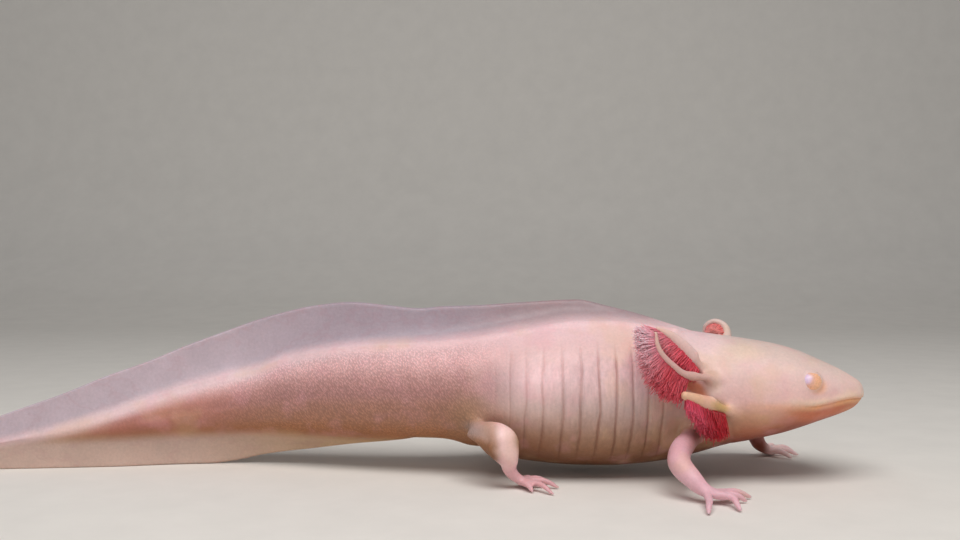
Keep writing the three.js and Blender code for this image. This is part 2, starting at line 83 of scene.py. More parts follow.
bodySettings = {
    # place along the body (mm from the hips, + towards the snout), underside, back, half width, squareness
    "flesh": [
        (99.4, 23.35, 23.35, 0.0, 2.0), (98.4, 20.4, 25.8, 4.5, 2.1), (96.6, 18.8, 27.0, 7.4, 2.2),
        (92.4, 16.9, 29.4, 10.7, 2.3), (87.5, 15.1, 31.7, 13.2, 2.4),
        (83.5, 13.6, 33.4, 14.9, 2.4), (77.5, 11.6, 35.0, 16.9, 2.4), (70.5, 9.7, 36.2, 17.4, 2.3),
        (64, 8.1, 37.1, 15.9, 2.2), (57.5, 5.9, 38.0, 14.8, 2.1), (51, 4.2, 39.1, 15.9, 2.1),
        (42.5, 2.9, 40.3, 18.2, 2.1), (34, 2.3, 41.1, 19.5, 2.1), (26, 2.4, 41.1, 19.7, 2.1),
        (11.5, 3.7, 39.0, 17.7, 2.1), (0, 7.3, 37.0, 14.0, 2.0), (-12, 9.2, 35.5, 11.2, 2.0),
        (-34.5, 9.3, 33.9, 9.2, 2.0), (-53, 9.5, 30.4, 7.8, 2.0), (-62, 9.4, 26.9, 7.0, 2.0),
        (-72, 9.1, 24.7, 6.1, 2.0), (-82, 8.9, 21.9, 5.1, 2.0), (-95, 8.5, 17.6, 3.8, 2.0),
        (-107, 8.2, 13.5, 2.6, 2.0), (-121, 7.9, 9.6, 1.1, 2.0), (-144, 4.6, 5.0, 0.3, 2.0),
    ],
    # place and sideways offset of the middle line seen from above
    "middle": [
        (-144, 6), (-118, 8.5), (-100, 10.5), (-84, 13.5), (-68, 15), (-51, 12), (-34, 8), (-11, 4.6),
        (4, 4), (30, 4), (60, 2), (80, -1), (101, -4),
    ],
    # edges of the fin above and below
    "finTop": [
        (-144, 5.6), (-143.2, 8.2), (-138.4, 11.2), (-130.6, 14.5), (-114, 20.4), (-102.8, 25.0),
        (-91.5, 29.0), (-81.7, 33.1), (-72.5, 36.5), (-61.2, 40.5), (-53.7, 42.6), (-45.6, 44.4),
        (-34.9, 45.5), (-25.5, 44.8), (-16.4, 44.0), (-10.7, 44.5), (0, 44.9), (11.5, 45.7), (26, 46.4),
        (33.8, 44.8), (42.5, 42.6), (51.3, 39.8), (57, 38.0), (64, 36.0), (100, 20.0),
    ],
    "finLow": [
        (-144, 4.2), (-143.2, 2.2), (-140, 0.7), (-134, 0), (-76, 0), (-68, 0.9), (-61.2, 2.5),
        (-53.7, 3.9), (-45.6, 5.1), (-34.9, 6.8), (-25.5, 7.9), (-18, 9.0), (-8, 11.0), (100, 25.0),
    ],
    "finRootHalf": 2.0,
    "finEdgeHalf": 0.42,
    "finFlare": 0.30,                    # share of the half width by which the fin widens into the back
    "finFlareLow": 0.22,                 # the same for the fin below
    "finThins": 70.0,                    # mm from the tail's tip over which the fin's root thins
    "finEdgeFrom": -144.6,               # where the fin's edge starts to gain its thickness
    "finEdgeGrows": 4.0,                 # mm over which it does
    "widestAt": 0.47,                    # share of the height at which the body is widest
    "snoutTip": 99.4,
    "tailTip": -144.0,
    "tailRings": 140,
    "hipsAt": -6.0,                      # where the tail's rings end
    "ringGap": 0.45,                     # mm between rings on trunk and head
    "noseRings": 20,
    # mouth line on the side of the head, then the line of widest body behind it
    "mouth": [
        (101, 21.3), (98, 21.7), (94, 22.1), (90.4, 21.7), (86.6, 21.0), (82.9, 20.6), (77.3, 21.0),
        (70, 21.0), (57.5, 20.8), (34, 20.5), (0, 21.0), (-34, 20.8), (-72, 16.4), (-107, 10.7), (-144, 4.8),
    ],
    "mouthCorner": 80.0,
    "columnsLow": 34,
    "columnsUp": 42,
    # costal grooves: where each crosses mid height, and its lean
    "grooves": [3.9, 7.6, 11.5, 15.8, 20.7, 25.3, 29.9, 34.2, 38.4, 42.4, 46.2],
    "grooveLean": 0.02,
    "grooveBow": 0.0012,
    "grooveDepth": 0.30,
    "grooveWidth": 0.36,
}


def alongBody(name, x):
    # a table of place and value read at x by the station curve
    table = np.array(bodySettings[name])
    return stationCurve(table[:, 0], table[:, 1], x)


def fleshAt(x):
    # the flesh columns and the middle line at x, read along the root of the distance from the snout's tip,
    # which closes the snout as a round nose
    table = np.array(bodySettings["flesh"])
    tip = bodySettings["snoutTip"]
    places = -np.sqrt(tip - table[:, 0])
    at = -np.sqrt(np.maximum(tip - np.asarray(x, float), 0.0))
    under, back, half, square = [stationCurve(places, table[:, k], at) for k in (1, 2, 3, 4)]
    return under, back, half, square, alongBody("middle", x)


def halfWidthAt(x, z):
    # half width at height z: flesh superellipse and thin fin blade joined as (flesh^3 + fin^3)^(1/3)
    under, back, half, square, _ = fleshAt(x)
    top, low = alongBody("finTop", x), alongBody("finLow", x)
    widest = under + bodySettings["widestAt"] * (back - under)
    above = z > widest
    share = np.where(above, (z - widest) / np.maximum(back - widest, 1e-3),
                     (widest - z) / np.maximum(widest - under, 1e-3))
    power = np.where(above, square, 2.0)
    flesh = half * np.clip(1.0 - np.clip(share, 0, 1) ** power, 0, None) ** (1.0 / power)
    root, edge = bodySettings["finRootHalf"], bodySettings["finEdgeHalf"]
    fromTip = x - bodySettings["tailTip"]
    thin = np.clip(fromTip / bodySettings["finThins"], 0.18, 1.0)
    upShare = np.clip((z - back) / np.maximum(top - back, 0.3), 0, 1)
    downShare = np.clip((under - z) / np.maximum(under - low, 0.3), 0, 1)
    fade = (1.0 - np.maximum(upShare, downShare)) ** 2
    sharp = np.clip((x - bodySettings["finEdgeFrom"]) / bodySettings["finEdgeGrows"], 0.3, 1)
    blade = edge * sharp + (root - edge) * fade * thin
    flareUp = np.exp(-np.maximum(z - back, 0) / 1.1 - np.maximum(back - z, 0) / 6.0) * (z > widest)
    flareDown = np.exp(-np.maximum(under - z, 0) / 1.0 - np.maximum(z - under, 0) / 3.0) * (z <= widest)
    blade = blade + half * (bodySettings["finFlare"] * flareUp + bodySettings["finFlareLow"] * flareDown)
    lip = np.clip((top - z) / 0.5, 0, 1) * (z >= widest) + np.clip((z - low) / 0.5, 0, 1) * (z < widest)
    blade = blade * np.sqrt(np.clip(lip * (2.0 - lip), 0, 1))
    there = np.where(z >= widest, smoothStep(0.0, 0.8, top - back), smoothStep(0.0, 0.8, under - low))
    blade = blade * there
    return np.cbrt(flesh ** 3 + blade ** 3)


def bodyRows():
    # places of the rings: about 1 mm apart on the tail, 0.45 mm on trunk and head, bunched at the snout
    tip, step = bodySettings["snoutTip"], bodySettings["ringGap"]
    tail = np.linspace(bodySettings["tailTip"], bodySettings["hipsAt"], bodySettings["tailRings"])
    trunk = np.arange(-5.4, 60.0, step)
    head = np.arange(60.4, 95.0, step)
    nose = tip - np.linspace(math.sqrt(tip - 95.2), 0.08, bodySettings["noseRings"]) ** 2
    return np.concatenate([tail, trunk, head, nose])


def bodyGrid():
    # ring outline at each x: half width against height, walked at even arc steps below and above
    # the mouth line
    x = bodyRows()
    under, back, _, _, side = fleshAt(x)
    top, low = alongBody("finTop", x), alongBody("finLow", x)
    bottom = np.where(low < under, low, under)
    crown = np.where(top > back, top, back)
    fine = 420
    t = 0.5 - 0.5 * np.cos(np.linspace(0, math.pi, fine))
    z = bottom[:, None] + (crown - bottom)[:, None] * t[None, :]
    y = halfWidthAt(np.repeat(x[:, None], fine, 1), z)
    y[:, 0] = 0.0
    y[:, -1] = 0.0
    step = np.hypot(np.diff(y, axis=1), np.diff(z, axis=1))
    arc = np.concatenate([np.zeros((len(x), 1)), np.cumsum(step, axis=1)], axis=1)
    anchor = np.clip(alongBody("mouth", x), bottom + 0.2, crown - 0.2)
    nLow, nUp = bodySettings["columnsLow"], bodySettings["columnsUp"]
    tight = 0.55 * smoothStep(74.0, 79.0, x)              # columns gather at the mouth line
    lowShare = np.linspace(0, 1, nLow + 1)
    upShare = np.linspace(0, 1, nUp + 1)
    zRing = np.empty((len(x), nLow + nUp + 1))
    yRing = np.empty_like(zRing)
    gap = np.empty_like(zRing)                            # arc distance above the mouth line
    for i in range(len(x)):                               # one pass for each ring
        mark = np.interp(anchor[i], z[i], arc[i])
        a = lowShare + tight[i] * (1.0 - (1.0 - lowShare) ** 2.2 - lowShare)
        b = upShare + tight[i] * (upShare ** 2.2 - upShare)
        places = np.concatenate([mark * a, mark + (arc[i, -1] - mark) * b[1:]])
        zRing[i] = np.interp(places, arc[i], z[i])
        yRing[i] = np.interp(places, arc[i], y[i])
        gap[i] = places - mark
    right = np.stack([np.repeat(x[:, None], zRing.shape[1], 1), side[:, None] - yRing, zRing], axis=2)
    left = np.stack([right[:, :, 0], side[:, None] + yRing, zRing], axis=2)[:, -2:0:-1]
    points = np.concatenate([right, left], axis=1)
    mouthGap = np.concatenate([gap, gap[:, -2:0:-1]], axis=1)
    return points, mouthGap


def grooveLine(x, z):
    # x less the groove's lean per mm of height and its backward bow, so each groove keeps one value
    return x - bodySettings["grooveLean"] * (z - 22.5) + bodySettings["grooveBow"] * (z - 24.0) ** 2 \
        + 0.10 * np.sin(0.30 * z + 0.8 * x)


def gridNormals(points):
    # cross product of the along-body and round-body differences, rings closed on themselves
    along = np.gradient(points, axis=0)
    around = np.roll(points, -1, axis=1) - np.roll(points, 1, axis=1)
    normal = np.cross(along, around)
    normal /= np.linalg.norm(normal, axis=2, keepdims=True) + 1e-12
    centre = points.mean(axis=1, keepdims=True)
    flip = np.sign(np.sum(normal * (points - centre), axis=2).mean())
    return normal * flip


eyeSettings = {
    "along": 82.7,
    "height": 26.5,
    "inset": 2.3,
    "radius": 3.1,
    "bulge": 0.05,                       # share of the radius
    "bulgeReach": 0.45,                  # radians
    "lidThick": 0.03,
    "segments": 64,
    "rings": 48,
    "openRadius": 2.1,
    "opens": (0.04, 0.97, 0.20),         # way the lids open: forward, out and up
    "look": (-0.52, 0.76, 0.40),         # way the pupil faces: back, out and up
    # colours from the pupil's middle outwards, placed as shares of half a turn; the pale lilac pupil is
    # partly a painted highlight
    "marks": [(0.0, (240, 214, 240)), (0.10, (236, 204, 226)), (0.17, (238, 184, 164)),
              (0.26, (252, 190, 152)), (0.35, (252, 190, 152)), (0.44, (252, 196, 162))],
    "surface": {"Coat Weight": 0.08, "Coat Roughness": 0.2, "Specular IOR Level": 0.3,
                "Subsurface Weight": 0.15, "Subsurface Scale": 0.001},
}


def eyeCentre(side):
    # middle line plus or minus the head's half width less the inset
    _, _, half, _, middle = fleshAt(np.array([eyeSettings["along"]]))
    return np.array([eyeSettings["along"], middle[0] + side * (half[0] - eyeSettings["inset"]),
                     eyeSettings["height"]])


def eyeAxis(side):
    # unit vector of the way the lids open, out to this side
    forward, out, up = eyeSettings["opens"]
    way = np.array([forward, side * out, up])
    return way / np.linalg.norm(way)


# ovals on the side of the neck and head: centre along and up, reach along and up, lean
ovalSettings = {
    "slitHollow": (54.0, 25.0, 3.2, 1.7, -0.45),         # hollow between the gill roots
    "slit": (54.2, 25.0, 4.2, 2.1, -0.5),
    "yellowGreen": (59.6, 20.8, 3.0, 1.7, -0.35),
    "litRim": (58.8, 25.0, 2.6, 2.6, 0.0),
    "crown": (66.0, 33.6, 7.0, 2.4, 0.0),
}


def ovalAway(name, x, z):
    # distance from the oval's centre as a share of its reach, heights read off its leaning axis
    along, up, reachAlong, reachUp, lean = ovalSettings[name]
    return np.hypot((x - along) / reachAlong, (z - up - lean * (x - along)) / reachUp)


# depths in mm of what is carved into the body, + outwards
carveSettings = {
    "lip": 0.14,
    "mouthCut": -0.30,
    "jawStep": -0.20,
    "mouthEnd": -0.22,
    "throat": -0.28,
    "neckFolds": [(57.4, 0.22), (54.0, 0.20), (50.2, 0.20)],
    "temple": 0.40,                      # muscle behind the eyes
    "forehead": -0.22,
    "slit": -0.65,
    "ventSwelling": 0.55,
    "ventCut": -0.50,
    "flankSeam": -0.10,
    "tailSeam": -0.14,
    "tailRipple": 0.10,
    "nostril": (98.3, 3.5, 24.4),        # along, out from the middle, up
    "nostrilDepth": 0.22,
    "nostrilRim": 0.05,
    "lidDip": 0.5,                       # how far the skin turns in under the lids' edge
}


def carveBody(points, mouthGap):
    # displacement along the normal, a sum of bells for lips, costal grooves, skin folds and vent,
    # then the lids drawn over each eye and the nostrils
    normal = gridNormals(points)
    x, y, z = points[:, :, 0], points[:, :, 1], points[:, :, 2]
    under, back, half, _, side = fleshAt(x)
    across = np.abs(y - side) / np.maximum(half, 0.5)
    level = (z - under) / np.maximum(back - under, 0.5)
    push = np.zeros_like(x)
    cut = carveSettings

    corner = bodySettings["mouthCorner"]
    tip = smoothStep(99.4, 98.0, x)
    jaw = smoothStep(corner - 1.5, corner + 3.5, x) * (0.2 + 0.8 * tip)
    push += jaw * cut["lip"] * bell(mouthGap, 1.1, 0.9)
    push += jaw * cut["mouthCut"] * bell(mouthGap, -0.05, 0.28)
    push += jaw * cut["jawStep"] * smoothStep(0.0, -0.8, mouthGap) * smoothStep(-7.0, -2.0, mouthGap)
    push += cut["mouthEnd"] * bell(x, corner - 0.8, 1.8) * bell(mouthGap, -1.0, 1.6)

    lean = grooveLine(x, z)
    reach = smoothStep(0.05, 0.22, level) * smoothStep(0.92, 0.68, level) * smoothStep(0.15, 0.5, across)
    ribs = np.zeros_like(x)
    for place in bodySettings["grooves"]:
        ribs -= bell(lean, place, bodySettings["grooveWidth"])
        ribs -= 0.30 * bell(lean, place, 1.1)
    strength = smoothStep(2.0, 12.0, x) * smoothStep(50.5, 44.0, x)
    push += bodySettings["grooveDepth"] * strength * reach * ribs

    throat = bell(x, 62.9 + 2.6 * smoothStep(0.35, 0.0, level), 0.6) * smoothStep(0.60, 0.42, level)
    push += cut["throat"] * throat * (0.3 + 0.7 * smoothStep(0.03, 0.2, level))
    for place, depth in cut["neckFolds"]:
        push -= depth * bell(x + 2.0 * (level - 0.5), place, 0.8) * smoothStep(0.55, 0.25, level) \
            * smoothStep(0.0, 0.16, level)

    push += cut["temple"] * bell(x, 78.5, 5.0) * bell(level, 0.80, 0.14)
    push += cut["forehead"] * bell(x, 85.5, 5.0) * bell(across, 0.25, 0.22) * (level > 0.5)
    push += cut["slit"] * bell(ovalAway("slitHollow", x, z), 0.0, 0.8) * (across > 0.6)
    push += cut["ventSwelling"] * bell(x, -3.0, 3.2) * bell(across, 0.0, 0.35) * (level < 0.2)
    push += cut["ventCut"] * bell(x, -3.0, 2.4) * bell(y - side, 0.0, 0.35) * (level < 0.2)

    midline = smoothStep(6.0, 20.0, x) * smoothStep(78.0, 62.0, x)
    push += cut["flankSeam"] * midline * bell(level, 0.60, 0.05) * (across > 0.5)
    tail = smoothStep(0.0, -12.0, x) * smoothStep(-112.0, -90.0, x)
    push += cut["tailSeam"] * tail * bell(level, 0.50, 0.06)
    push += cut["tailRipple"] * np.sin(x * 0.9 + 6.0 * level) * smoothStep(0.35, 0.6, level) \
        * smoothStep(0.95, 0.8, level) * smoothStep(14.0, 2.0, x) * smoothStep(-60.0, -20.0, x)

    points = points + normal * push[:, :, None]

    for turn in (-1, 1):
        centre, axis = eyeCentre(turn), eyeAxis(turn)
        offset = points - centre
        depth = offset @ axis
        radial = np.linalg.norm(offset - depth[:, :, None] * axis, axis=2)
        facing = (depth > -1.0) & (radial < 7.0)
        cover = eyeSettings["radius"] + eyeSettings["lidThick"]
        hug = np.sqrt(np.clip(cover ** 2 - radial ** 2, 0.0, None))          # depth of the ball's front
        soft = 0.5 * (depth + hug + np.sqrt((depth - hug) ** 2 + 0.05))      # the greater, rounded off
        lid = np.where(radial < cover, soft, depth)
        blendOut = smoothStep(cover + 1.2, cover - 0.4, radial)
        raised = depth + (lid - depth) * blendOut
        openRadius = eyeSettings["openRadius"]
        raised -= cut["lidDip"] * smoothStep(openRadius + 0.10, openRadius - 0.9, radial)
        points = points + np.where(facing, raised - depth, 0.0)[:, :, None] * axis
        along, out, up = cut["nostril"]
        nostril = np.array([along, fleshAt(np.array([along]))[4][0] + turn * out, up])
        near = np.linalg.norm(points - nostril, axis=2)
        dent = cut["nostrilDepth"] * bell(near, 0.0, 0.34) - cut["nostrilRim"] * bell(near, 0.8, 0.35)
        points = points - normal * dent[:, :, None]

    points[:, :, 2] = np.maximum(points[:, :, 2], 0.0)
    return points


def makeMesh(name, points, quads, threes=()):
    # plain mesh object in metres from points in mm, moved into the model's frame
    quads = np.asarray(quads, np.int32).reshape(-1, 4)
    threes = np.asarray(threes, np.int32).reshape(-1, 3)
    sizes = np.concatenate([np.full(len(quads), 4), np.full(len(threes), 3)])
    mesh = bpy.data.meshes.new(name)
    mesh.vertices.add(len(points))
    mesh.vertices.foreach_set("co", ((points + origin) * mm).astype(np.float32).ravel())
    mesh.loops.add(int(sizes.sum()))
    mesh.loops.foreach_set("vertex_index", np.concatenate([quads.ravel(), threes.ravel()]))
    mesh.polygons.add(len(sizes))
    mesh.polygons.foreach_set("loop_start", np.concatenate([[0], np.cumsum(sizes)[:-1]]).astype(np.int32))
    mesh.update(calc_edges=True)
    thing = bpy.data.objects.new(name, mesh)
    bpy.context.scene.collection.objects.link(thing)
    return thing


def ringFaces(rows, columns):
    # four corners of each cell of a closed-round grid
    i = np.arange(rows - 1)[:, None]
    j = np.arange(columns)[None, :]
    k = (j + 1) % columns
    cells = np.stack([i * columns + j, i * columns + k, (i + 1) * columns + k, (i + 1) * columns + j], axis=2)
    return cells.reshape(-1, 4)


def closedGrid(points, turned=False):
    # grid of rings with a fan to a middle point at each end
    rows, columns = points.shape[:2]
    flat = points.reshape(-1, 3)
    tail, nose = points[0].mean(0), points[-1].mean(0)
    flat = np.vstack([flat, tail, nose])
    quads = ringFaces(rows, columns)
    j = np.arange(columns)
    k = (j + 1) % columns
    last = (rows - 1) * columns
    first = np.stack([k, j, np.full(columns, rows * columns)], axis=1)
    end = np.stack([last + j, last + k, np.full(columns, rows * columns + 1)], axis=1)
    threes = np.concatenate([first, end])
    if turned:
        quads, threes = quads[:, ::-1], threes[:, ::-1]
    return flat, quads, threes


def catmullRom(stops, at):
    # smooth row through the stops, read at places counted in stops: 0 at the first, 1 at the next
    stops = np.asarray(stops, float)
    padded = np.vstack([2 * stops[0] - stops[1], stops, 2 * stops[-1] - stops[-2]])
    i = np.clip(at.astype(int), 0, len(stops) - 2)
    f = (at - i)[:, None]
    a, b, c, d = padded[i], padded[i + 1], padded[i + 2], padded[i + 3]
    return 0.5 * (2 * b + (c - a) * f + (2 * a - 5 * b + 4 * c - d) * f ** 2
                  + (3 * b - a - 3 * c + d) * f ** 3)


def sweep(stops, sides, rings, dome=5):
    # round profile carried along a Catmull-Rom path, half width and half height blended stop to stop,
    # closed at each end by a dome of shrinking rings
    row = catmullRom(stops, np.linspace(0, len(stops) - 1, rings))
    heading = np.gradient(row[:, :3], axis=0)
    heading /= np.linalg.norm(heading, axis=1, keepdims=True)
    across = np.cross(heading[-1], [0, 0, 1.0])
    across /= np.linalg.norm(across) + 1e-9
    frames = np.empty((rings, 3))
    for n in range(rings - 1, -1, -1):                    # carried back without twist
        across = across - np.dot(across, heading[n]) * heading[n]
        across /= np.linalg.norm(across)
        frames[n] = across
    raised = np.cross(frames, heading)
    sizes = np.maximum(row[:, 3:5], 0.02)
    turn = np.linspace(0, math.pi / 2, dome + 1)[1:-1]
    head = [(row[0, :3] - heading[0] * sizes[0].mean() * math.sin(t), frames[0], raised[0],
             sizes[0] * math.cos(t)) for t in turn[::-1]]
    body = [(row[n, :3], frames[n], raised[n], sizes[n]) for n in range(rings)]
    foot = [(row[-1, :3] + heading[-1] * sizes[-1].mean() * math.sin(t), frames[-1], raised[-1],
             sizes[-1] * math.cos(t)) for t in turn]
    every = head + body + foot
    centre = np.array([e[0] for e in every])[:, None, :]
    wide = np.array([e[1] * e[3][0] for e in every])[:, None, :]
    high = np.array([e[2] * e[3][1] for e in every])[:, None, :]
    angle = (np.arange(sides) / sides * 2 * math.pi)[None, :, None]
    return centre + wide * np.cos(angle) + high * np.sin(angle)


def joinShapes(name, grids):
    # several closed grids as one mesh object
    points, quads, threes, start = [], [], [], 0
    for grid in grids:
        flat, fours, fans = closedGrid(grid)
        points.append(flat)
        quads.append(fours + start)
        threes.append(fans + start)
        start += len(flat)
    return makeMesh(name, np.vstack(points), np.vstack(quads), np.vstack(threes))


def meshArrays(thing):
    # vertex places as an array and edges as index pairs
    mesh = thing.data
    points = np.empty(len(mesh.vertices) * 3)
    mesh.vertices.foreach_get("co", points)
    edges = np.empty(len(mesh.edges) * 2, np.int64)
    mesh.edges.foreach_get("vertices", edges)
    return points.reshape(-1, 3), edges.reshape(-1, 2)


def movePoints(thing, points):
    # vertex places from an array, in metres
    thing.data.vertices.foreach_set("co", points.ravel())
    thing.data.update()


def shadeSmooth(thing):
    # every face shaded smooth
    thing.data.polygons.foreach_set("use_smooth", np.ones(len(thing.data.polygons), bool))


def relax(points, edges, weight, rounds):
    # each vertex moves towards the mean of its neighbours by its weight, over and over
    count = len(points)
    ends = np.concatenate([edges[:, 0], edges[:, 1]])
    others = np.concatenate([edges[:, 1], edges[:, 0]])
    degree = np.maximum(np.bincount(ends, minlength=count), 1)[:, None]
    for _ in range(rounds):
        total = np.stack([np.bincount(ends, points[others, k], count) for k in range(3)], axis=1)
        points = points + weight[:, None] * (total / degree - points)
    return points


def bakeModifiers(thing):
    # modifiers worked out and kept as plain mesh
    layer = bpy.context.evaluated_depsgraph_get()
    mesh = bpy.data.meshes.new_from_object(thing.evaluated_get(layer))
    old = thing.data
    thing.modifiers.clear()
    thing.data = mesh
    bpy.data.meshes.remove(old)


bodyPoints, mouthGap = bodyGrid()
bodyPoints = carveBody(bodyPoints, mouthGap)
skin = makeMesh("skin", *closedGrid(bodyPoints))
print("stage 2: body", len(skin.data.vertices), "points")


limbSettings = {
    "voxel": 0.34,                       # mm
    "relaxRounds": 10,
    "digitRoot": {"arm": 1.12, "leg": 1.0},
    "digitTip": {"arm": 0.52, "leg": 0.46},
    "armRight": {
        "stops": [
            (57.0, -6, 13.8, 3.7, 3.9), (52.7, -14, 12.3, 2.8, 3.2), (49.2, -20, 10.4, 2.7, 2.9),
            (48.1, -24.8, 8.2, 2.75, 2.85), (50.4, -28.2, 5.4, 2.5, 2.4), (52.3, -29.8, 3.6, 2.1, 1.9),
            (54.0, -30.4, 2.8, 2.3, 1.4), (56.6, -30.6, 2.0, 2.4, 1.05)],
        "digits": [
            [(53.2, -30.6, 2.6), (52.6, -36.4, 2.1), (51.3, -41.3, 0.6)],
            [(54.8, -31.0, 2.5), (58.6, -33.6, 2.3), (59.2, -38.6, 0.6)],
            [(55.4, -30.8, 2.4), (60.0, -30.6, 2.1), (62.8, -30.0, 0.6)],
            [(55.4, -30.0, 2.4), (60.4, -27.8, 2.3), (64.8, -26.2, 0.6)]],
    },
    "armLeft": {
        "stops": [
            (57, 7, 13.8, 3.9, 3.9), (61.0, 15.4, 13.2, 3.1, 3.3), (67.0, 20.4, 12.2, 2.9, 3.1),
            (73.6, 22.0, 10.2, 2.75, 2.75), (78.6, 22.8, 6.8, 2.3, 2.3), (80.6, 23.8, 3.6, 2.4, 1.8),
            (83.6, 25.4, 1.5, 2.7, 1.3)],
        "digits": [
            [(82.8, 24.0, 1.6), (86.2, 21.4, 1.9), (88.6, 19.4, 0.5)],
            [(83.4, 25.0, 1.5), (88.2, 24.2, 1.9), (91.8, 24.0, 0.5)],
            [(83.4, 26.0, 1.5), (88.4, 28.4, 1.9), (92.2, 30.6, 0.5)],
            [(82.4, 26.6, 1.6), (86.0, 31.4, 1.8), (88.4, 34.8, 0.5)]],
    },
    "legRight": {
        "stops": [
            (0.6, -2, 13.6, 2.8, 2.4), (-0.7, -9.0, 13.9, 2.7, 2.1), (3.0, -14.4, 14.3, 2.8, 2.6),
            (5.4, -17.0, 13.0, 2.6, 3.7), (5.8, -17.3, 11.0, 2.5, 4.4), (6.6, -17.2, 9.1, 2.3, 3.55),
            (7.2, -16.8, 7.1, 2.0, 2.55), (7.3, -16.3, 5.2, 1.75, 1.8), (8.7, -15.4, 3.2, 1.8, 1.4),
            (11.0, -14.6, 1.5, 2.3, 1.1)],
        "web": [(-3.0, -10.8, 12.7, 1.4, 1.4), (0.4, -14.6, 11.8, 1.7, 1.8), (3.6, -17.0, 10.2, 1.9, 2.2)],
        "digits": [
            [(10.0, -14.0, 1.7), (12.2, -10.4, 1.7), (13.8, -8.4, 0.45)],
            [(10.6, -14.2, 1.8), (14.6, -12.2, 1.9), (17.6, -11.2, 0.45)],
            [(11.0, -14.6, 1.8), (15.8, -15.2, 2.0), (19.6, -16.0, 0.45)],
            [(10.8, -15.2, 1.8), (14.8, -19.2, 2.0), (17.8, -22.8, 0.45)],
            [(10.0, -15.4, 1.7), (11.8, -18.6, 1.7), (13.0, -20.6, 0.45)]],
    },
    "legLeft": {
        "stops": [
            (1.4, 10, 13.6, 2.8, 2.4), (1.9, 17.2, 13.9, 2.7, 2.1), (6.6, 23.0, 14.3, 2.8, 2.6),
            (9.6, 25.6, 13.0, 2.6, 3.6), (10.2, 26.0, 11.0, 2.5, 4.3), (11.2, 26.2, 9.1, 2.3, 3.5),
            (11.9, 26.5, 7.1, 2.0, 2.5), (12.5, 26.9, 5.2, 1.75, 1.8), (14.2, 27.6, 3.2, 1.8, 1.4),
            (16.6, 28.4, 1.5, 2.4, 1.1)],
        "web": [(-1.4, 19.0, 12.7, 1.4, 1.4), (3.4, 23.2, 11.8, 1.7, 1.8), (7.6, 25.8, 10.2, 1.9, 2.2)],
        "digits": [
            [(15.6, 27.6, 1.4), (17.4, 24.6, 1.5), (19.0, 22.8, 0.45)],
            [(16.2, 27.8, 1.4), (19.8, 25.6, 1.7), (22.8, 24.4, 0.45)],
            [(16.6, 28.4, 1.4), (21.0, 28.6, 1.9), (24.8, 28.8, 0.45)],
            [(16.4, 29.0, 1.4), (20.2, 31.6, 1.8), (23.2, 33.4, 0.45)],
            [(15.6, 29.4, 1.4), (17.2, 32.6, 1.6), (18.6, 34.8, 0.45)]],
    },
}
limbNames = ("armRight", "armLeft", "legRight", "legLeft")


def makeLimb(name):
    # swept limb and its digits, melted together by a voxel remesh and relaxed
    plan = limbSettings[name]
    root, tip = [limbSettings[key][name[:3]] for key in ("digitRoot", "digitTip")]
    grids = [sweep(plan["stops"], sides=28, rings=56)]
    if "web" in plan:                                      # fold of skin behind the knee
        grids.append(sweep(plan["web"], sides=20, rings=24))
    for start, bend, end in plan["digits"]:
        start, bend, end = np.array(start), np.array(bend), np.array(end)
        reach = end - bend
        stops = [
            (*start, root, root * 0.92),
            (*(0.5 * (start + bend) + [0, 0, 0.1]), root * 0.94, root * 0.86),
            (*bend, root * 0.88, root * 0.82),
            (*(bend + 0.45 * reach + [0, 0, 0.2]), root * 0.78, root * 0.72),
            (*(bend + 0.78 * reach), root * 0.66, root * 0.60),
            (*end, tip, tip),
        ]
        grids.append(sweep(stops, sides=14, rings=26))
    limb = joinShapes(name, grids)
    melt = limb.modifiers.new("melt", "REMESH")
    melt.mode = "VOXEL"
    melt.voxel_size = limbSettings["voxel"] * mm
    bakeModifiers(limb)
    points, edges = meshArrays(limb)
    points = relax(points, edges, np.full(len(points), 0.5), limbSettings["relaxRounds"])
    movePoints(limb, points)
    return limb


limbs = [makeLimb(name) for name in limbNames]
print("stage 3: limbs", [len(limb.data.vertices) for limb in limbs])


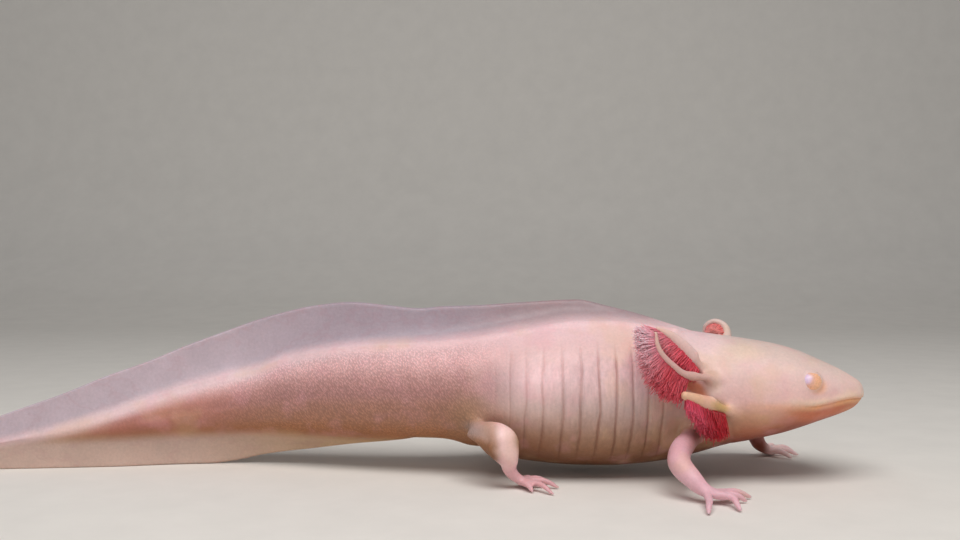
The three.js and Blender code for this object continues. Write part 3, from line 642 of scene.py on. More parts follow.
gillSettings = {
    # stalks: stops from root to tip, then lie and length of the filaments at even steps along them,
    # the side they stand on and the share of the stalk left bare at its root
    "rightTop": {
        "stops": [
            (60.5, -7.5, 27.8, 2.6, 2.2), (56.0, -11.8, 29.9, 1.5, 1.75), (53.6, -13.2, 32.7, 1.2, 1.75),
            (50.6, -14.5, 35.7, 1.1, 1.65), (47.5, -15.5, 38.2, 0.95, 1.3), (44.2, -16.2, 40.0, 0.55, 0.6)],
        "lie": [(-0.5, 0, -0.85), (-0.8, 0, -0.55), (-1, 0, 0.1)],
        "length": (3.4, 4.6, 5.2, 5.0, 4.8), "side": -1, "first": 0.22},
    "rightMiddle": {
        "stops": [
            (62.5, -9.8, 26.4, 2.0, 2.2), (59.0, -12.5, 27.2, 1.6, 1.8), (55.4, -14.8, 27.9, 1.35, 1.4),
            (50.6, -17.8, 28.9, 1.0, 0.95), (47.4, -19.5, 31.2, 0.85, 0.8), (44.6, -20.6, 33.9, 0.8, 0.75),
            (43.2, -20.8, 36.4, 0.75, 0.7), (42.9, -20.2, 39.2, 0.5, 0.5)],
        "lie": [(-0.5, 0, -0.85), (-0.74, 0, -0.66), (-0.93, 0, 0.36)],
        "length": (7.0, 7.1, 6.4, 4.8, 5.2), "side": -1, "first": 0.385},
    "rightLow": {
        "stops": [
            (66.4, -12.0, 17.4, 1.3, 1.3), (63.4, -13.9, 18.6, 1.4, 1.5), (60.6, -15.5, 20.0, 1.6, 1.9),
            (57.9, -16.8, 21.1, 1.7, 2.1), (55.2, -18.2, 21.9, 1.55, 1.95), (52.7, -19.4, 23.1, 1.35, 1.45),
            (50.3, -20.1, 24.0, 1.05, 1.05)],
        "lie": [(0, 0, -1), (0.06, 0, -1), (0.12, 0, -1)],
        "length": (5.8, 7.2, 6.8, 5.4, 3.8), "side": -1, "first": 0.31},
    "leftTop": {
        "stops": [
            (65.4, 11.6, 31.0, 2.5, 1.8), (69.4, 17.2, 34.8, 1.6, 1.25), (69.6, 20.2, 37.8, 1.2, 1.05),
            (67.2, 21.8, 39.2, 0.95, 0.85), (64.9, 22.8, 38.0, 0.75, 0.7), (64.3, 23.2, 35.6, 0.5, 0.5)],
        "lie": [(-0.9, 0, 0.1), (-0.35, 0, -0.9), (0.3, 0, -0.95)],
        "length": (3.0, 3.6, 3.8, 3.3, 2.8), "side": 1},
    "leftMiddle": {
        "stops": [
            (62.5, 13.6, 26.4, 2.0, 2.2), (59.0, 16.4, 27.0, 1.6, 1.8), (55.4, 18.8, 27.6, 1.35, 1.4),
            (51.2, 22.0, 28.5, 1.05, 1.05), (46.8, 25.2, 31.2, 0.85, 0.8), (44.2, 26.4, 34.0, 0.75, 0.7),
            (43.4, 26.2, 36.6, 0.5, 0.5)],
        "lie": [(-0.5, 0, -0.85), (-0.74, 0, -0.66), (-0.95, 0, 0.2)],
        "length": (7.0, 7.1, 6.4, 5.2, 5.0), "side": 1, "first": 0.385},
}
# the left low gill is the right one with its stops moved across
leftOut = (15.0, 17.2, 19.1, 20.7, 22.4, 23.9, 24.7)
gillSettings["leftLow"] = dict(gillSettings["rightLow"], side=1, stops=[
    (stop[0], out, *stop[2:]) for stop, out in zip(gillSettings["rightLow"]["stops"], leftOut)])
gillNames = ("rightTop", "rightMiddle", "rightLow", "leftTop", "leftMiddle", "leftLow")

stalks = [joinShapes("stalk" + name, [sweep(gillSettings[name]["stops"], sides=20, rings=44)])
          for name in gillNames]
print("stage 4: gill stalks")


def uniteAll(base, tools):
    # each tool joined to the base by a boolean union, then removed
    for tool in tools:
        union = base.modifiers.new("union", "BOOLEAN")
        union.operation = "UNION"
        union.solver = "EXACT"
        union.object = tool
        bakeModifiers(base)
        bpy.data.objects.remove(tool)


uniteAll(skin, limbs + stalks)
print("stage 5: skin joined", len(skin.data.vertices), "points")

# fillets where limbs and stalks leave the body: centre and reach in mm, then weight
rootSettings = {
    "limbs": [((54.4, -12.0, 12.6), 8.0), ((59.4, 14.0, 13.0), 8.0), ((-0.8, -10.8, 14.4), 8.6),
              ((1.0, 18.2, 14.4), 8.6)],
    "stalks": [((56.6, -11.4, 29.8), 5.0), ((57.4, -13.6, 27.6), 5.4), ((61.6, -14.4, 20.2), 6.0),
               ((67.4, 14.0, 32.6), 5.0), ((57.4, 17.4, 27.6), 5.4), ((61.6, 18.0, 20.2), 6.0)],
    "weights": {"limbs": 1.0, "stalks": 0.4},
    "eyeKept": (3.0, 6.0),               # mm from the eye's centre where relaxing starts and is full
    "rounds": 110,
}


def filletRoots(thing):
    # relaxing whose weight fades with distance from each root
    points, edges = meshArrays(thing)
    local = points / mm - origin
    weight = np.zeros(len(points))
    for kind, full in rootSettings["weights"].items():
        for place, reach in rootSettings[kind]:
            away = np.linalg.norm(local - np.array(place), axis=1)
            weight = np.maximum(weight, full * smoothStep(reach, reach * 0.45, away))
    for turn in (-1, 1):                                   # the eyes' rims keep their shape
        away = np.linalg.norm(local - eyeCentre(turn), axis=1)
        weight *= smoothStep(*rootSettings["eyeKept"], away)
    local = relax(local, edges, 0.6 * weight, rootSettings["rounds"])
    local[:, 2] = np.maximum(local[:, 2], 0.0)
    movePoints(thing, (local + origin) * mm)
    return local


skinPoints = filletRoots(skin)
print("stage 6: roots smoothed")


def linear(red, green, blue):
    # display colour 0-255 to linear light
    c = np.array([red, green, blue]) / 255.0
    return np.where(c <= 0.04045, c / 12.92, ((c + 0.055) / 1.055) ** 2.4)


toneSettings = {
    # the darker jaw colour towards its lower edge is partly painted shade under the head
    "jaw": (208, 118, 82), "jawLow": (154, 84, 66), "jawEdge": (253, 182, 128), "lip": (252, 220, 198),
    "snout": (248, 214, 202), "warm": (255, 190, 150), "straw": (240, 212, 176),
    "finTop": (173, 157, 168), "finTopFar": (199, 181, 190), "finFront": (168, 146, 150),
    # the pale colour laid along the top of the flesh below the fin is a painted highlight
    "finLow": (194, 160, 122), "finLowFar": (204, 176, 163), "band": (240, 212, 216),
    # the red-brown for the near arm's root and inner side is painted shade
    "armInnerShade": (140, 78, 62), "limb": (228, 177, 187), "elbow": (228, 184, 164), "hand": (232, 186, 196),
    # the brown at the hips is painted shade
    # the far arm's red-brown is painted shade
    # the far hand's near-white pink is painted light against the shade it lies in
    # the grey at the thigh roots is painted shade
    "farArmShade": (150, 80, 60), "farHand": (255, 222, 220), "hipShade": (178, 138, 104), "thighRootShade": (176, 156, 154),
    "thigh": (206, 166, 150), "leg": (253, 214, 214), "foot": (222, 172, 176),
    "stalk": (218, 178, 168), "stalkTop": (236, 200, 194), "stalkLow": (228, 184, 154),
    # the brown-orange for the slit between the gill roots is partly painted shade
    # the near-white pink beside the slit is painted light
    "yellowGreen": (200, 168, 92), "gap": (238, 152, 112), "litRim": (255, 226, 216),
}

# colours up the flesh: share of the way from underside to back, then the colour there; the brown underneath
# is partly painted shade and the pale back partly painted light
bandSettings = {
    "trunk": [(0.0, (112, 70, 44)), (0.10, (130, 86, 58)), (0.17, (151, 107, 77)),
              (0.26, (173, 133, 109)), (0.46, (203, 174, 168)), (0.65, (235, 199, 201)),
              (0.84, (229, 190, 189)), (1.0, (242, 206, 210))],
    "tail": [(0.0, (158, 98, 56)), (0.12, (180, 120, 82)), (0.22, (186, 132, 106)),
             (0.38, (184, 133, 116)), (0.5, (186, 136, 130)), (0.66, (203, 153, 149)),
             (0.82, (238, 188, 188)), (1.0, (240, 202, 205))],
    "tailEnd": [(0.0, (172, 118, 84)), (0.3, (182, 116, 98)), (0.6, (194, 130, 117)), (0.85, (222, 172, 168)),
                (1.0, (238, 202, 204))],
    "neck": [(0.0, (112, 62, 42)), (0.17, (150, 104, 76)), (0.33, (196, 152, 136)), (0.5, (232, 194, 190)),
             (0.65, (243, 209, 207)), (0.85, (240, 208, 206)), (1.0, (236, 204, 206))],
    "head": [(0.0, (112, 52, 36)), (0.08, (144, 76, 56)), (0.18, (184, 114, 84)), (0.33, (222, 171, 140)),
             (0.47, (235, 193, 187)), (0.71, (235, 202, 196)), (0.92, (226, 199, 190)),
             (1.0, (224, 197, 188))],
}

# mm along the body from which a part's colour starts to where it is full
fadeSettings = {
    "neck": (46.0, 56.0), "head": (58.0, 68.0), "jaw": (70.0, 84.0), "snout": (88.0, 97.0),
    "tail": (12.0, -8.0), "tailEnd": (-48.0, -92.0), "backHighlight": (-20.0, -62.0),
    "finUp": (56.0, 44.0), "finDown": (-8.0, -22.0), "finFar": (-22.0, -88.0), "finFront": (-15.0, 20.0),
    "stalk": (62.5, 57.5), "stalkLow": (66.0, 60.5), "farHand": (81.0, 84.0), "mouthCreaseShade": (79.0, 84.0),
}

# soft spots of tone: centre, reach along, across and up, share at the middle; those at the thigh roots are
# painted shade
spotSettings = {
    "thighRoots": ((-0.8, -11.0, 14.0), (0.8, 19.4, 14.0)),
    "thighReach": (6.6, 6.5, 2.4),
    "thighShare": 0.70,
    "warmOffset": (1.3, 0.0, -0.9),      # from the eye's centre
    "warmReach": (2.6, 3.2, 2.1),
    "warmShare": 0.75,
}


# painted light and painted shade on the flank: place, share of height, reach along, reach in height, gain
flankLightAndShade = [(15.2, 0.67, 6.0, 0.12, 1.22), (15.2, 0.39, 7.0, 0.12, 1.16), (5.0, 0.64, 4.5, 0.12, 0.90),
                (5.0, 0.40, 4.0, 0.10, 1.26)]


def bandColour(name, level):
    # straight blend between the band's colours in linear light
    stops = bandSettings[name]
    colours = np.array([linear(*rgb) for _, rgb in stops])
    return np.stack([np.interp(level, [share for share, _ in stops], column) for column in colours.T], axis=1)


def mixTone(base, other, share):
    # base * (1 - share) + other * share
    return base * (1.0 - share[:, None]) + other * share[:, None]


def nearPath(points, stops):
    # least distance from each point to the path through the stops, less the path's own half width there
    stops = np.asarray(stops, float)
    best = np.full(len(points), 1e9)
    for a, b in zip(stops[:-1], stops[1:]):
        way = b[:3] - a[:3]
        t = np.clip((points - a[:3]) @ way / (way @ way), 0, 1)
        place = a[:3] + t[:, None] * way
        radius = a[3] + t * (b[3] - a[3])
        best = np.minimum(best, np.linalg.norm(points - place, axis=1) - radius)
    return best


def paintSkin(thing, points):
    # colour at each point: height and length bands blended by smooth steps, then limbs and stalks laid over
    tone = {name: linear(*rgb) for name, rgb in toneSettings.items()}
    x, y, z = points.T
    under, back, half, _, side = fleshAt(x)
    top, low = alongBody("finTop", x), alongBody("finLow", x)
    level = (z - under) / np.maximum(back - under, 0.6)
    count = len(points)

    def fade(name, place=x):
        return smoothStep(*fadeSettings[name], place)

    gap = z - alongBody("mouth", x)
    head = bandColour("head", level)
    head = mixTone(head, tone["snout"], fade("snout") * smoothStep(0.0, 1.5, gap))
    head = mixTone(head, tone["lip"], fade("jaw") * bell(gap, 0.9, 1.1) * 0.8)
    # the jaw darker towards its lower edge: partly its own colour, partly painted shade under the head
    jaw = mixTone(tone["jaw"], tone["jawLow"], smoothStep(-2.5, -6.0, gap))
    head = mixTone(head, jaw, fade("jaw") * smoothStep(0.2, -1.8, gap))
    edge = 0.3 * smoothStep(64.0, 74.0, x) + 0.6 * smoothStep(78.0, 86.0, x)
    head = mixTone(head, tone["jawEdge"], edge * bell(gap, -0.3, 0.8))

    colour = mixTone(bandColour("trunk", level), bandColour("neck", level), fade("neck"))
    colour = mixTone(colour, head, fade("head"))
    tail = mixTone(bandColour("tail", level), bandColour("tailEnd", level), fade("tailEnd"))
    colour = mixTone(colour, tail, fade("tail", x - 8.0 * (level - 0.5)))
    # brown across the hips where tail meets trunk: painted shade
    hipShade = 0.55 * bell(x, -3.0 + 5.0 * (level - 0.4), 5.0) * bell(level, 0.34, 0.24)
    colour = mixTone(colour, tone["hipShade"], hipShade)
    colour = mixTone(colour, tone["straw"], 0.30 * smoothStep(1.3, 0.2, ovalAway("crown", x, z)))
    # painted light and painted shade on the flank
    for place, height, long, high, gain in flankLightAndShade:
        colour = colour * (1.0 + (gain - 1.0) * bell(x, place, long) * bell(level, height, high))[:, None]

    above = z - back
    below = under - z
    finUp = smoothStep(-1.0, 2.4, above) * fade("finUp")
    finDown = smoothStep(-1.4, 2.2, below) * fade("finDown")
    # pale band along the top of the flesh: a painted highlight
    colour = mixTone(colour, tone["band"], 0.8 * (bell(above, -1.0, 2.0) * fade("backHighlight")))
    finTone = mixTone(tone["finTop"], tone["finTopFar"], fade("finFar"))
    colour = mixTone(colour, mixTone(finTone, tone["finFront"], fade("finFront")), finUp)
    colour = mixTone(colour, mixTone(tone["finLow"], tone["finLowFar"], fade("finFar")), finDown)

    out = np.abs(y - side) - halfWidthAt(x, z)             # how far a point stands out from the flank
    limbShare = np.zeros(count)
    for name in limbNames:
        plan = limbSettings[name]
        digits = [nearPath(points, [(*d[0], 1.0), (*d[1], 0.8), (*d[2], 0.5)]) for d in plan["digits"]]
        near = np.minimum(nearPath(points, plan["stops"][1:]), np.min(digits, axis=0))
        share = smoothStep(1.6, 0.0, near) * smoothStep(-0.2, 3.6, out)
        end, palm = "foot", smoothStep(9.0, 3.5, z)
        # the near arm's root and inner side get painted shade from the chest
        if name == "armRight":                             # darker at its root and inner side
            inner = smoothStep(47.6, 54.8, x) * smoothStep(7.5, 10.5, z) * 0.9
            shade = mixTone(tone["limb"], tone["armInnerShade"], inner)
            shade = mixTone(shade, tone["elbow"], 0.25 * bell(z, 7.6, 1.8) * smoothStep(0.0, 2.0, out))
            end = "hand"
        elif name == "armLeft":                            # darker on the side towards the body
            bow = np.array(plan["stops"])
            outer = smoothStep(0.2, 2.2, y - np.interp(x, bow[:, 0], bow[:, 1]))
            # the far arm painted red-brown on the side towards the body: painted shade
            shade = mixTone(tone["farArmShade"], tone["limb"], outer)
            # its hand painted paler than the near one: painted light against the shade it lies in
            end, palm = "farHand", fade("farHand")
        else:
            start = x - (1.8 if name == "legLeft" else 0.0)
            knee = np.maximum(smoothStep(3.0, 6.0, start), smoothStep(12.4, 9.0, z))
            shade = mixTone(tone["thigh"], tone["leg"], knee)
            share = share * smoothStep(-4.2, 1.6, start) * np.maximum(
                smoothStep(17.0, 15.4, z), smoothStep(1.0, 3.0, start))
        colour = mixTone(colour, shade, share)
        colour = mixTone(colour, tone[end], palm * smoothStep(1.0, 0.2, near))
        limbShare = np.maximum(limbShare, share)
    # painted shade at the thigh roots, where they meet the flank
    for place in spotSettings["thighRoots"]:
        away = np.linalg.norm((points - np.array(place)) / np.array(spotSettings["thighReach"]), axis=1)
        colour = mixTone(colour, tone["thighRootShade"], spotSettings["thighShare"] * smoothStep(1.2, 0.2, away))

    stalkShare = np.zeros(count)
    for name in gillNames:
        isLow = name.endswith("Low")
        near = nearPath(points, gillSettings[name]["stops"][1:])
        share = smoothStep(1.0, 0.1, near) * fade("stalkLow" if isLow else "stalk")
        shade = "stalkLow" if isLow else "stalkTop" if name.endswith("Top") else "stalk"
        colour = mixTone(colour, tone[shade], share)
        stalkShare = np.maximum(stalkShare, share)
    onSide = np.abs(y - side) > 0.6 * half
    yellowGreen, slit, litRim = [ovalAway(name, x, z) for name in ("yellowGreen", "slit", "litRim")]
    # yellow-green patch on the skin at the low stalk's root
    colour = mixTone(colour, tone["yellowGreen"], 0.65 * smoothStep(1.2, 0.3, yellowGreen) * onSide)
    # brown-orange in the slit between the gill roots: partly the skin's colour, partly painted shade
    slitShadeShare = smoothStep(1.1, 0.6, slit) * onSide * (1 - 0.85 * stalkShare)
    colour = mixTone(colour, tone["gap"], 0.9 * slitShadeShare)
    # pale patch beside the slit: painted light
    colour = mixTone(colour, tone["litRim"], 0.8 * smoothStep(1.2, 0.4, litRim) * onSide)
    for turn in (-1, 1):                                   # warm skin ahead of and below the eye
        warm = points - eyeCentre(turn) - np.array(spotSettings["warmOffset"])
        warm = np.linalg.norm(warm / spotSettings["warmReach"], axis=1)
        colour = mixTone(colour, tone["warm"], spotSettings["warmShare"] * smoothStep(1.35, 0.6, warm))

    # groove count read along the body: a whole number on each groove
    lean = grooveLine(x, z)
    places = np.array(bodySettings["grooves"])
    phase = np.interp(lean, places, np.arange(len(places)))
    phase += (np.minimum(lean - places[0], 0.0) + np.maximum(lean - places[-1], 0.0)) / 4.0
    ribbed = smoothStep(0.03, 0.2, level) * smoothStep(0.92, 0.66, level) * smoothStep(50, 44, x) \
        * (0.4 * smoothStep(0, 8, x) + 0.6 * smoothStep(8, 26, x)) * (1 - limbShare) * (1 - stalkShare)

    # dark line along the mouth: painted shade in its crease
    mouth = fade("mouthCreaseShade") * bell(gap, -0.05, 0.20) * 0.22
    colour = colour * (1.0 - mouth[:, None] * np.array([0.5, 0.9, 1.0]))

    fin = np.clip(np.maximum(finUp, finDown), 0, 1) * (1 - limbShare)
    muscle = smoothStep(12.0, -10.0, x) * smoothStep(-0.4, -3.0, above) * smoothStep(0.6, -2.6, below) \
        * (0.2 + 0.8 * smoothStep(-84.0, -52.0, x))
    addAttribute(thing, "tone", colour)
    addAttribute(thing, "fin", fin)
    addAttribute(thing, "muscle", muscle * (1 - limbShare))
    addAttribute(thing, "ribPhase", phase)
    addAttribute(thing, "ribbed", ribbed)


def addAttribute(thing, name, values):
    # point attribute, a colour where values has three columns and a number where it has one
    if values.ndim == 2:
        layer = thing.data.attributes.new(name, "FLOAT_COLOR", "POINT")
        rgba = np.concatenate([values, np.ones((len(values), 1))], axis=1)
        layer.data.foreach_set("color", rgba.astype(np.float32).ravel())
    else:
        layer = thing.data.attributes.new(name, "FLOAT", "POINT")
        layer.data.foreach_set("value", values.astype(np.float32))


paintSkin(skin, skinPoints)
shadeSmooth(skin)
print("stage 7: skin painted")


class Shader:
    # adds nodes to one material; each method that makes a value gives its node and output as a pair

    def __init__(self, name):
        self.material = bpy.data.materials.new(name)
        self.material.use_nodes = True
        self.tree = self.material.node_tree
        self.tree.nodes.clear()
        out = self.add("ShaderNodeOutputMaterial")
        self.surface = self.add("ShaderNodeBsdfPrincipled")
        self.feed(out, "Surface", (self.surface, "BSDF"))

    def add(self, kind, **settings):
        node = self.tree.nodes.new(kind)
        for key, value in settings.items():
            setattr(node, key, value)
        return node

    def feed(self, node, entry, source):
        # entry set to a number or to a colour of three shares, or linked to a node's output
        if isinstance(source, (int, float)):
            node.inputs[entry].default_value = source
        elif len(source) == 3:
            node.inputs[entry].default_value = (*source, 1.0)
        else:
            self.tree.links.new(source[0].outputs[source[1]], node.inputs[entry])

    def attribute(self, name, output="Fac"):
        return self.add("ShaderNodeAttribute", attribute_name=name), output

    def placed(self, node, output, stretch, turn, kind):
        # texture read at Object coordinates, stretched and turned
        place = self.add("ShaderNodeTexCoord")
        mapping = self.add("ShaderNodeMapping", vector_type=kind)
        mapping.inputs["Scale"].default_value = stretch
        mapping.inputs["Rotation"].default_value = turn
        self.feed(mapping, "Vector", (place, "Object"))
        self.feed(node, "Vector", (mapping, "Vector"))
        return node, output

    def noise(self, scale, detail, rough, stretch=(1, 1, 1), turn=(0, 0, 0)):
        node = self.add("ShaderNodeTexNoise")
        for entry, value in (("Scale", scale), ("Detail", detail), ("Roughness", rough)):
            self.feed(node, entry, value)
        return self.placed(node, "Fac", stretch, turn, "POINT")

    def spots(self, scale, even, stretch, turn):
        # cells drawn out along turned axes, 0 to 1 even
        node = self.add("ShaderNodeTexVoronoi", feature="F1")
        self.feed(node, "Scale", scale)
        self.feed(node, "Randomness", 1.0 - even)
        return self.placed(node, "Distance", stretch, turn, "TEXTURE")

    def remap(self, source, low, high, toLow, toHigh, smooth=False):
        node = self.add("ShaderNodeMapRange")
        if smooth:
            node.interpolation_type = "SMOOTHSTEP"
        for entry, value in (("From Min", low), ("From Max", high), ("To Min", toLow), ("To Max", toHigh),
                             ("Value", source)):
            self.feed(node, entry, value)
        return node, "Result"

    def maths(self, operation, first, second):
        node = self.add("ShaderNodeMath", operation=operation)
        self.feed(node, 0, first)
        self.feed(node, 1, second)
        return node, "Value"

    def blend(self, kind, share, first, second):
        node = self.add("ShaderNodeMix", data_type="RGBA", blend_type=kind)
        for entry, source in ((0, share), (6, first), (7, second)):    # share, then the two colours
            self.feed(node, entry, source)
        return node, 2

    def speckle(self, base, texture, low, high, toLow, toHigh, share=1.0):
        # base multiplied by the texture's values brought to the range from toLow to toHigh
        return self.blend("MULTIPLY", share, base, self.remap(texture, low, high, toLow, toHigh))

    def bump(self, source, distance, strength, before=None):
        node = self.add("ShaderNodeBump")
        self.feed(node, "Strength", strength)
        self.feed(node, "Distance", distance)
        self.feed(node, "Height", source)
        if before is not None:
            self.feed(node, "Normal", before)
        return node, "Normal"

    def cover(self, base, roughness, bump, values):
        # colour, roughness, bump and plain values given to the surface; the material comes back
        for entry, source in (("Base Color", base), ("Roughness", roughness), ("Normal", bump)):
            self.feed(self.surface, entry, source)
        for entry, value in values.items():
            self.surface.inputs[entry].default_value = value
        return self.material


skinLook = {
    "blush": (232, 168, 178),            # rosy clouds, and the most they cover
    "blushShare": 0.24,
    "honey": (226, 190, 144),            # yellowish clouds on head and trunk
    "honeyShare": 0.26,
    "vein": (176, 120, 128),             # veins of the fin
    "veinShare": 0.12,
    # the groove colour is painted shade in the costal creases
    "groove": (0.70, 0.56, 0.52),        # what the skin is multiplied by in a costal groove
    "grooveLine": 0.12,                  # half width of that line, in spaces between grooves
    "wrinkleShare": 0.9,
    "surface": {
        "Subsurface Weight": 0.18, "Subsurface Radius": (1.0, 0.45, 0.35), "Subsurface Scale": 0.0016,
        "Specular IOR Level": 0.36, "Coat Weight": 0.06, "Coat Roughness": 0.25,
    },
}


def skinMaterial():
    # painted tone, mottled and speckled, with pores, granular wrinkles on the tail and veins in the fin
    look = skinLook
    s = Shader("moistSkin")
    fin, muscle, ribbed = s.attribute("fin"), s.attribute("muscle"), s.attribute("ribbed")
    base = s.speckle(s.attribute("tone", "Color"), s.noise(90.0, 4.0, 0.6), 0.3, 0.7, 0.93, 1.06)
    base = s.speckle(base, s.noise(1400.0, 3.0, 0.6), 0.25, 0.75, 0.93, 1.06)
    blush = s.remap(s.noise(140.0, 3.0, 0.5), 0.48, 0.70, 0.0, look["blushShare"], True)
    fleshOnly = s.maths("SUBTRACT", 1.0, fin)
    base = s.blend("MIX", s.maths("MULTIPLY", blush, fleshOnly), base, tuple(linear(*look["blush"])))
    honeyNoise = s.noise(75.0, 3.0, 0.5, (1, 1, 1), (0.4, 0.2, 1.1))
    honey = s.remap(honeyNoise, 0.50, 0.68, 0.0, look["honeyShare"], True)
    trunkOnly = s.maths("MAXIMUM", s.maths("SUBTRACT", fleshOnly, muscle), 0.0)
    base = s.blend("MIX", s.maths("MULTIPLY", honey, trunkOnly), base, tuple(linear(*look["honey"])))

    wrinkle = s.spots(1900.0, 0.15, (0.75, 1.0, 1.8), (0.0, -0.6, 0.0))
    wrinkled = s.maths("MULTIPLY", muscle, look["wrinkleShare"])
    base = s.speckle(base, wrinkle, 0.15, 0.62, 1.16, 0.78, wrinkled)

    waver = s.remap(s.noise(130.0, 2.0, 0.5), 0.3, 0.7, -0.04, 0.04)
    between = s.maths("PINGPONG", s.maths("ADD", s.attribute("ribPhase"), waver), 0.5)
    ribLine = s.remap(between, 0.0, look["grooveLine"], 1.0, 0.0, True)
    broken = s.remap(s.noise(120.0, 3.0, 0.6, (1, 1, 0.6)), 0.35, 0.6, 0.45, 1.0)
    ribShare = s.maths("MULTIPLY", s.maths("MULTIPLY", ribLine, broken), ribbed)
    # costal grooves painted darker along their lines: painted shade in the creases
    base = s.blend("MULTIPLY", ribShare, base, look["groove"])
    streaks = s.noise(1000.0, 3.0, 0.55, (1.0, 1.0, 0.16))
    base = s.speckle(base, streaks, 0.3, 0.7, 0.88, 1.09, ribbed)

    offMiddle = s.maths("SUBTRACT", s.noise(70.0, 4.0, 0.65, (0.5, 1.0, 1.0)), 0.5)
    vein = s.remap(s.maths("ABSOLUTE", offMiddle, 0.0), 0.0, 0.03, look["veinShare"], 0.0, True)
    base = s.blend("MIX", s.maths("MULTIPLY", vein, fin), base, tuple(linear(*look["vein"])))
    roughness = s.remap(s.noise(320.0, 3.0, 0.6), 0.3, 0.7, 0.42, 0.58)

    bump = s.bump(s.noise(1500.0, 2.0, 0.5), 0.00012, 0.35)                # pores
    granular = s.maths("MULTIPLY", s.maths("MULTIPLY", wrinkle, muscle), -1.0)
    bump = s.bump(granular, 0.0002, 0.7, bump)
    bump = s.bump(s.noise(260.0, 3.0, 0.5), 0.00035, 0.30, bump)           # soft unevenness
    folded = s.maths("SUBTRACT", s.maths("MULTIPLY", streaks, 0.5), ribLine)
    bump = s.bump(s.maths("MULTIPLY", folded, ribbed), 0.00025, 0.6, bump)
    return s.cover(base, roughness, bump, look["surface"])


skin.data.materials.clear()
skin.data.materials.append(skinMaterial())
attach(skin, "root")
fleshNodes = [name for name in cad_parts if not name.startswith("eye_")]
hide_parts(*fleshNodes)


def makeEye(side):
    # ball whose radius grows by a bell round the way it looks, its bulge; the angle from that way is
    # kept as an attribute for pupil and iris
    radius = eyeSettings["radius"]
    rings, segments = eyeSettings["rings"], eyeSettings["segments"]
    polar = np.linspace(0.02, math.pi - 0.02, rings)[:, None]
    turn = (np.arange(segments) / segments * 2 * math.pi)[None, :]
    axis = np.array(eyeSettings["look"]) * [1, side, 1]
    axis /= np.linalg.norm(axis)
    first = np.cross(axis, [0, 0, 1.0])
    first /= np.linalg.norm(first)
    second = np.cross(axis, first)
    bulge = radius * (1.0 + eyeSettings["bulge"] * bell(polar, 0.0, eyeSettings["bulgeReach"]))
    points = (bulge * np.cos(polar) + 0 * turn)[:, :, None] * axis \
        + (bulge * np.sin(polar) * np.cos(turn))[:, :, None] * first \
        + (bulge * np.sin(polar) * np.sin(turn))[:, :, None] * second
    name = "eyeBall" + ("Right" if side < 0 else "Left")
    eye = makeMesh(name, *closedGrid(points + eyeCentre(side), turned=True))
    share = np.concatenate([np.repeat(polar[:, 0], segments), [0.0, math.pi]])
    addAttribute(eye, "polar", share)
    shadeSmooth(eye)
    return eye


def eyeMaterial():
    # pale lilac pupil, partly a painted highlight, peach iris with fine streaks
    s = Shader("wetEye")
    streak = s.noise(2600.0, 4.0, 0.6)
    place = s.maths("ADD", s.attribute("polar"), s.remap(streak, 0.3, 0.7, -0.05, 0.05))
    ramp = s.add("ShaderNodeValToRGB")
    marks = eyeSettings["marks"]
    while len(ramp.color_ramp.elements) < len(marks):
        ramp.color_ramp.elements.new(0.5)
    for element, (position, rgb) in zip(ramp.color_ramp.elements, marks):
        element.position = position
        element.color = (*linear(*rgb), 1.0)
    s.feed(ramp, "Fac", s.maths("DIVIDE", place, math.pi))
    base = s.speckle((ramp, "Color"), streak, 0.3, 0.7, 0.86, 1.08)
    roughness = s.remap(streak, 0.3, 0.7, 0.16, 0.26)
    return s.cover(base, roughness, s.bump(streak, 0.00004, 0.2), eyeSettings["surface"])


eyeLook = eyeMaterial()
for side, node in ((-1, "eye_right"), (1, "eye_left")):
    eye = makeEye(side)
    eye.data.materials.append(eyeLook)
    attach(eye, "root")
    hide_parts(node)
print("stage 8: eyes")


filamentSettings = {
    "along": 125,                         # filaments along each row
    "rows": 21,                           # rows round the hind side of a stalk
    "sides": 4,
    "rings": 7,
    "root": 0.13,                         # half thickness, mm
    "tip": 0.065,
    "first": 0.27,                        # share of the stalk left bare, unless its plan says
    "last": 0.99,                         # share of the stalk where the filaments end
    "jitter": 0.35,                       # spread along the stalk, in spaces between filaments
    "fan": 0.40,
    "stray": 0.09,
    "lengths": (0.72, 1.08),              # shortest and longest, as shares of the plan's length
    "outerLoss": 0.22,                    # share of the length lost in the outermost rows
    "seatOut": 0.45,                      # where they sprout, in half thicknesses of the stalk
    "seatDeep": 0.62,
    "curl": 0.085,
    "waves": 5.0,
    "droop": 0.06,
    "lowest": 0.05,                       # mm kept above the floor
    "seed": 11,
    "surface": {"Subsurface Weight": 0.35, "Subsurface Radius": (1.0, 0.3, 0.3), "Subsurface Scale": 0.0012},
    # OFBake map: width of one filament's place, where the map starts along the body, its length
    "patch": 0.003,
    "mapFrom": -146.0,
    "mapLength": 250.0,
    # base and tip colour of the filaments next to the stalk's root, then of those at its tip; the low gills'
    # deeper crimson is painted shade, the near top gill's brighter red and the middle gills' pale tips are
    # partly painted light
    "tones": {
        "rightTop": ((232, 56, 78), (242, 88, 106), (246, 110, 128), (253, 176, 186)),
        "leftTop": ((246, 112, 110), (252, 152, 146), (246, 112, 114), (252, 172, 168)),
        "Middle": ((206, 50, 68), (228, 88, 102), (255, 148, 166), (255, 208, 218)),
        "Low": ((160, 14, 26), (186, 26, 40), (216, 46, 78), (236, 92, 118)),
    },
}


def mixAlong(values, share):
    # straight blend through evenly spaced values as share goes from 0 to 1
    values = np.asarray(values, float).reshape(len(values), -1)
    spots = np.linspace(0, 1, len(values))
    return np.stack([np.interp(share, spots, column) for column in values.T], axis=1)


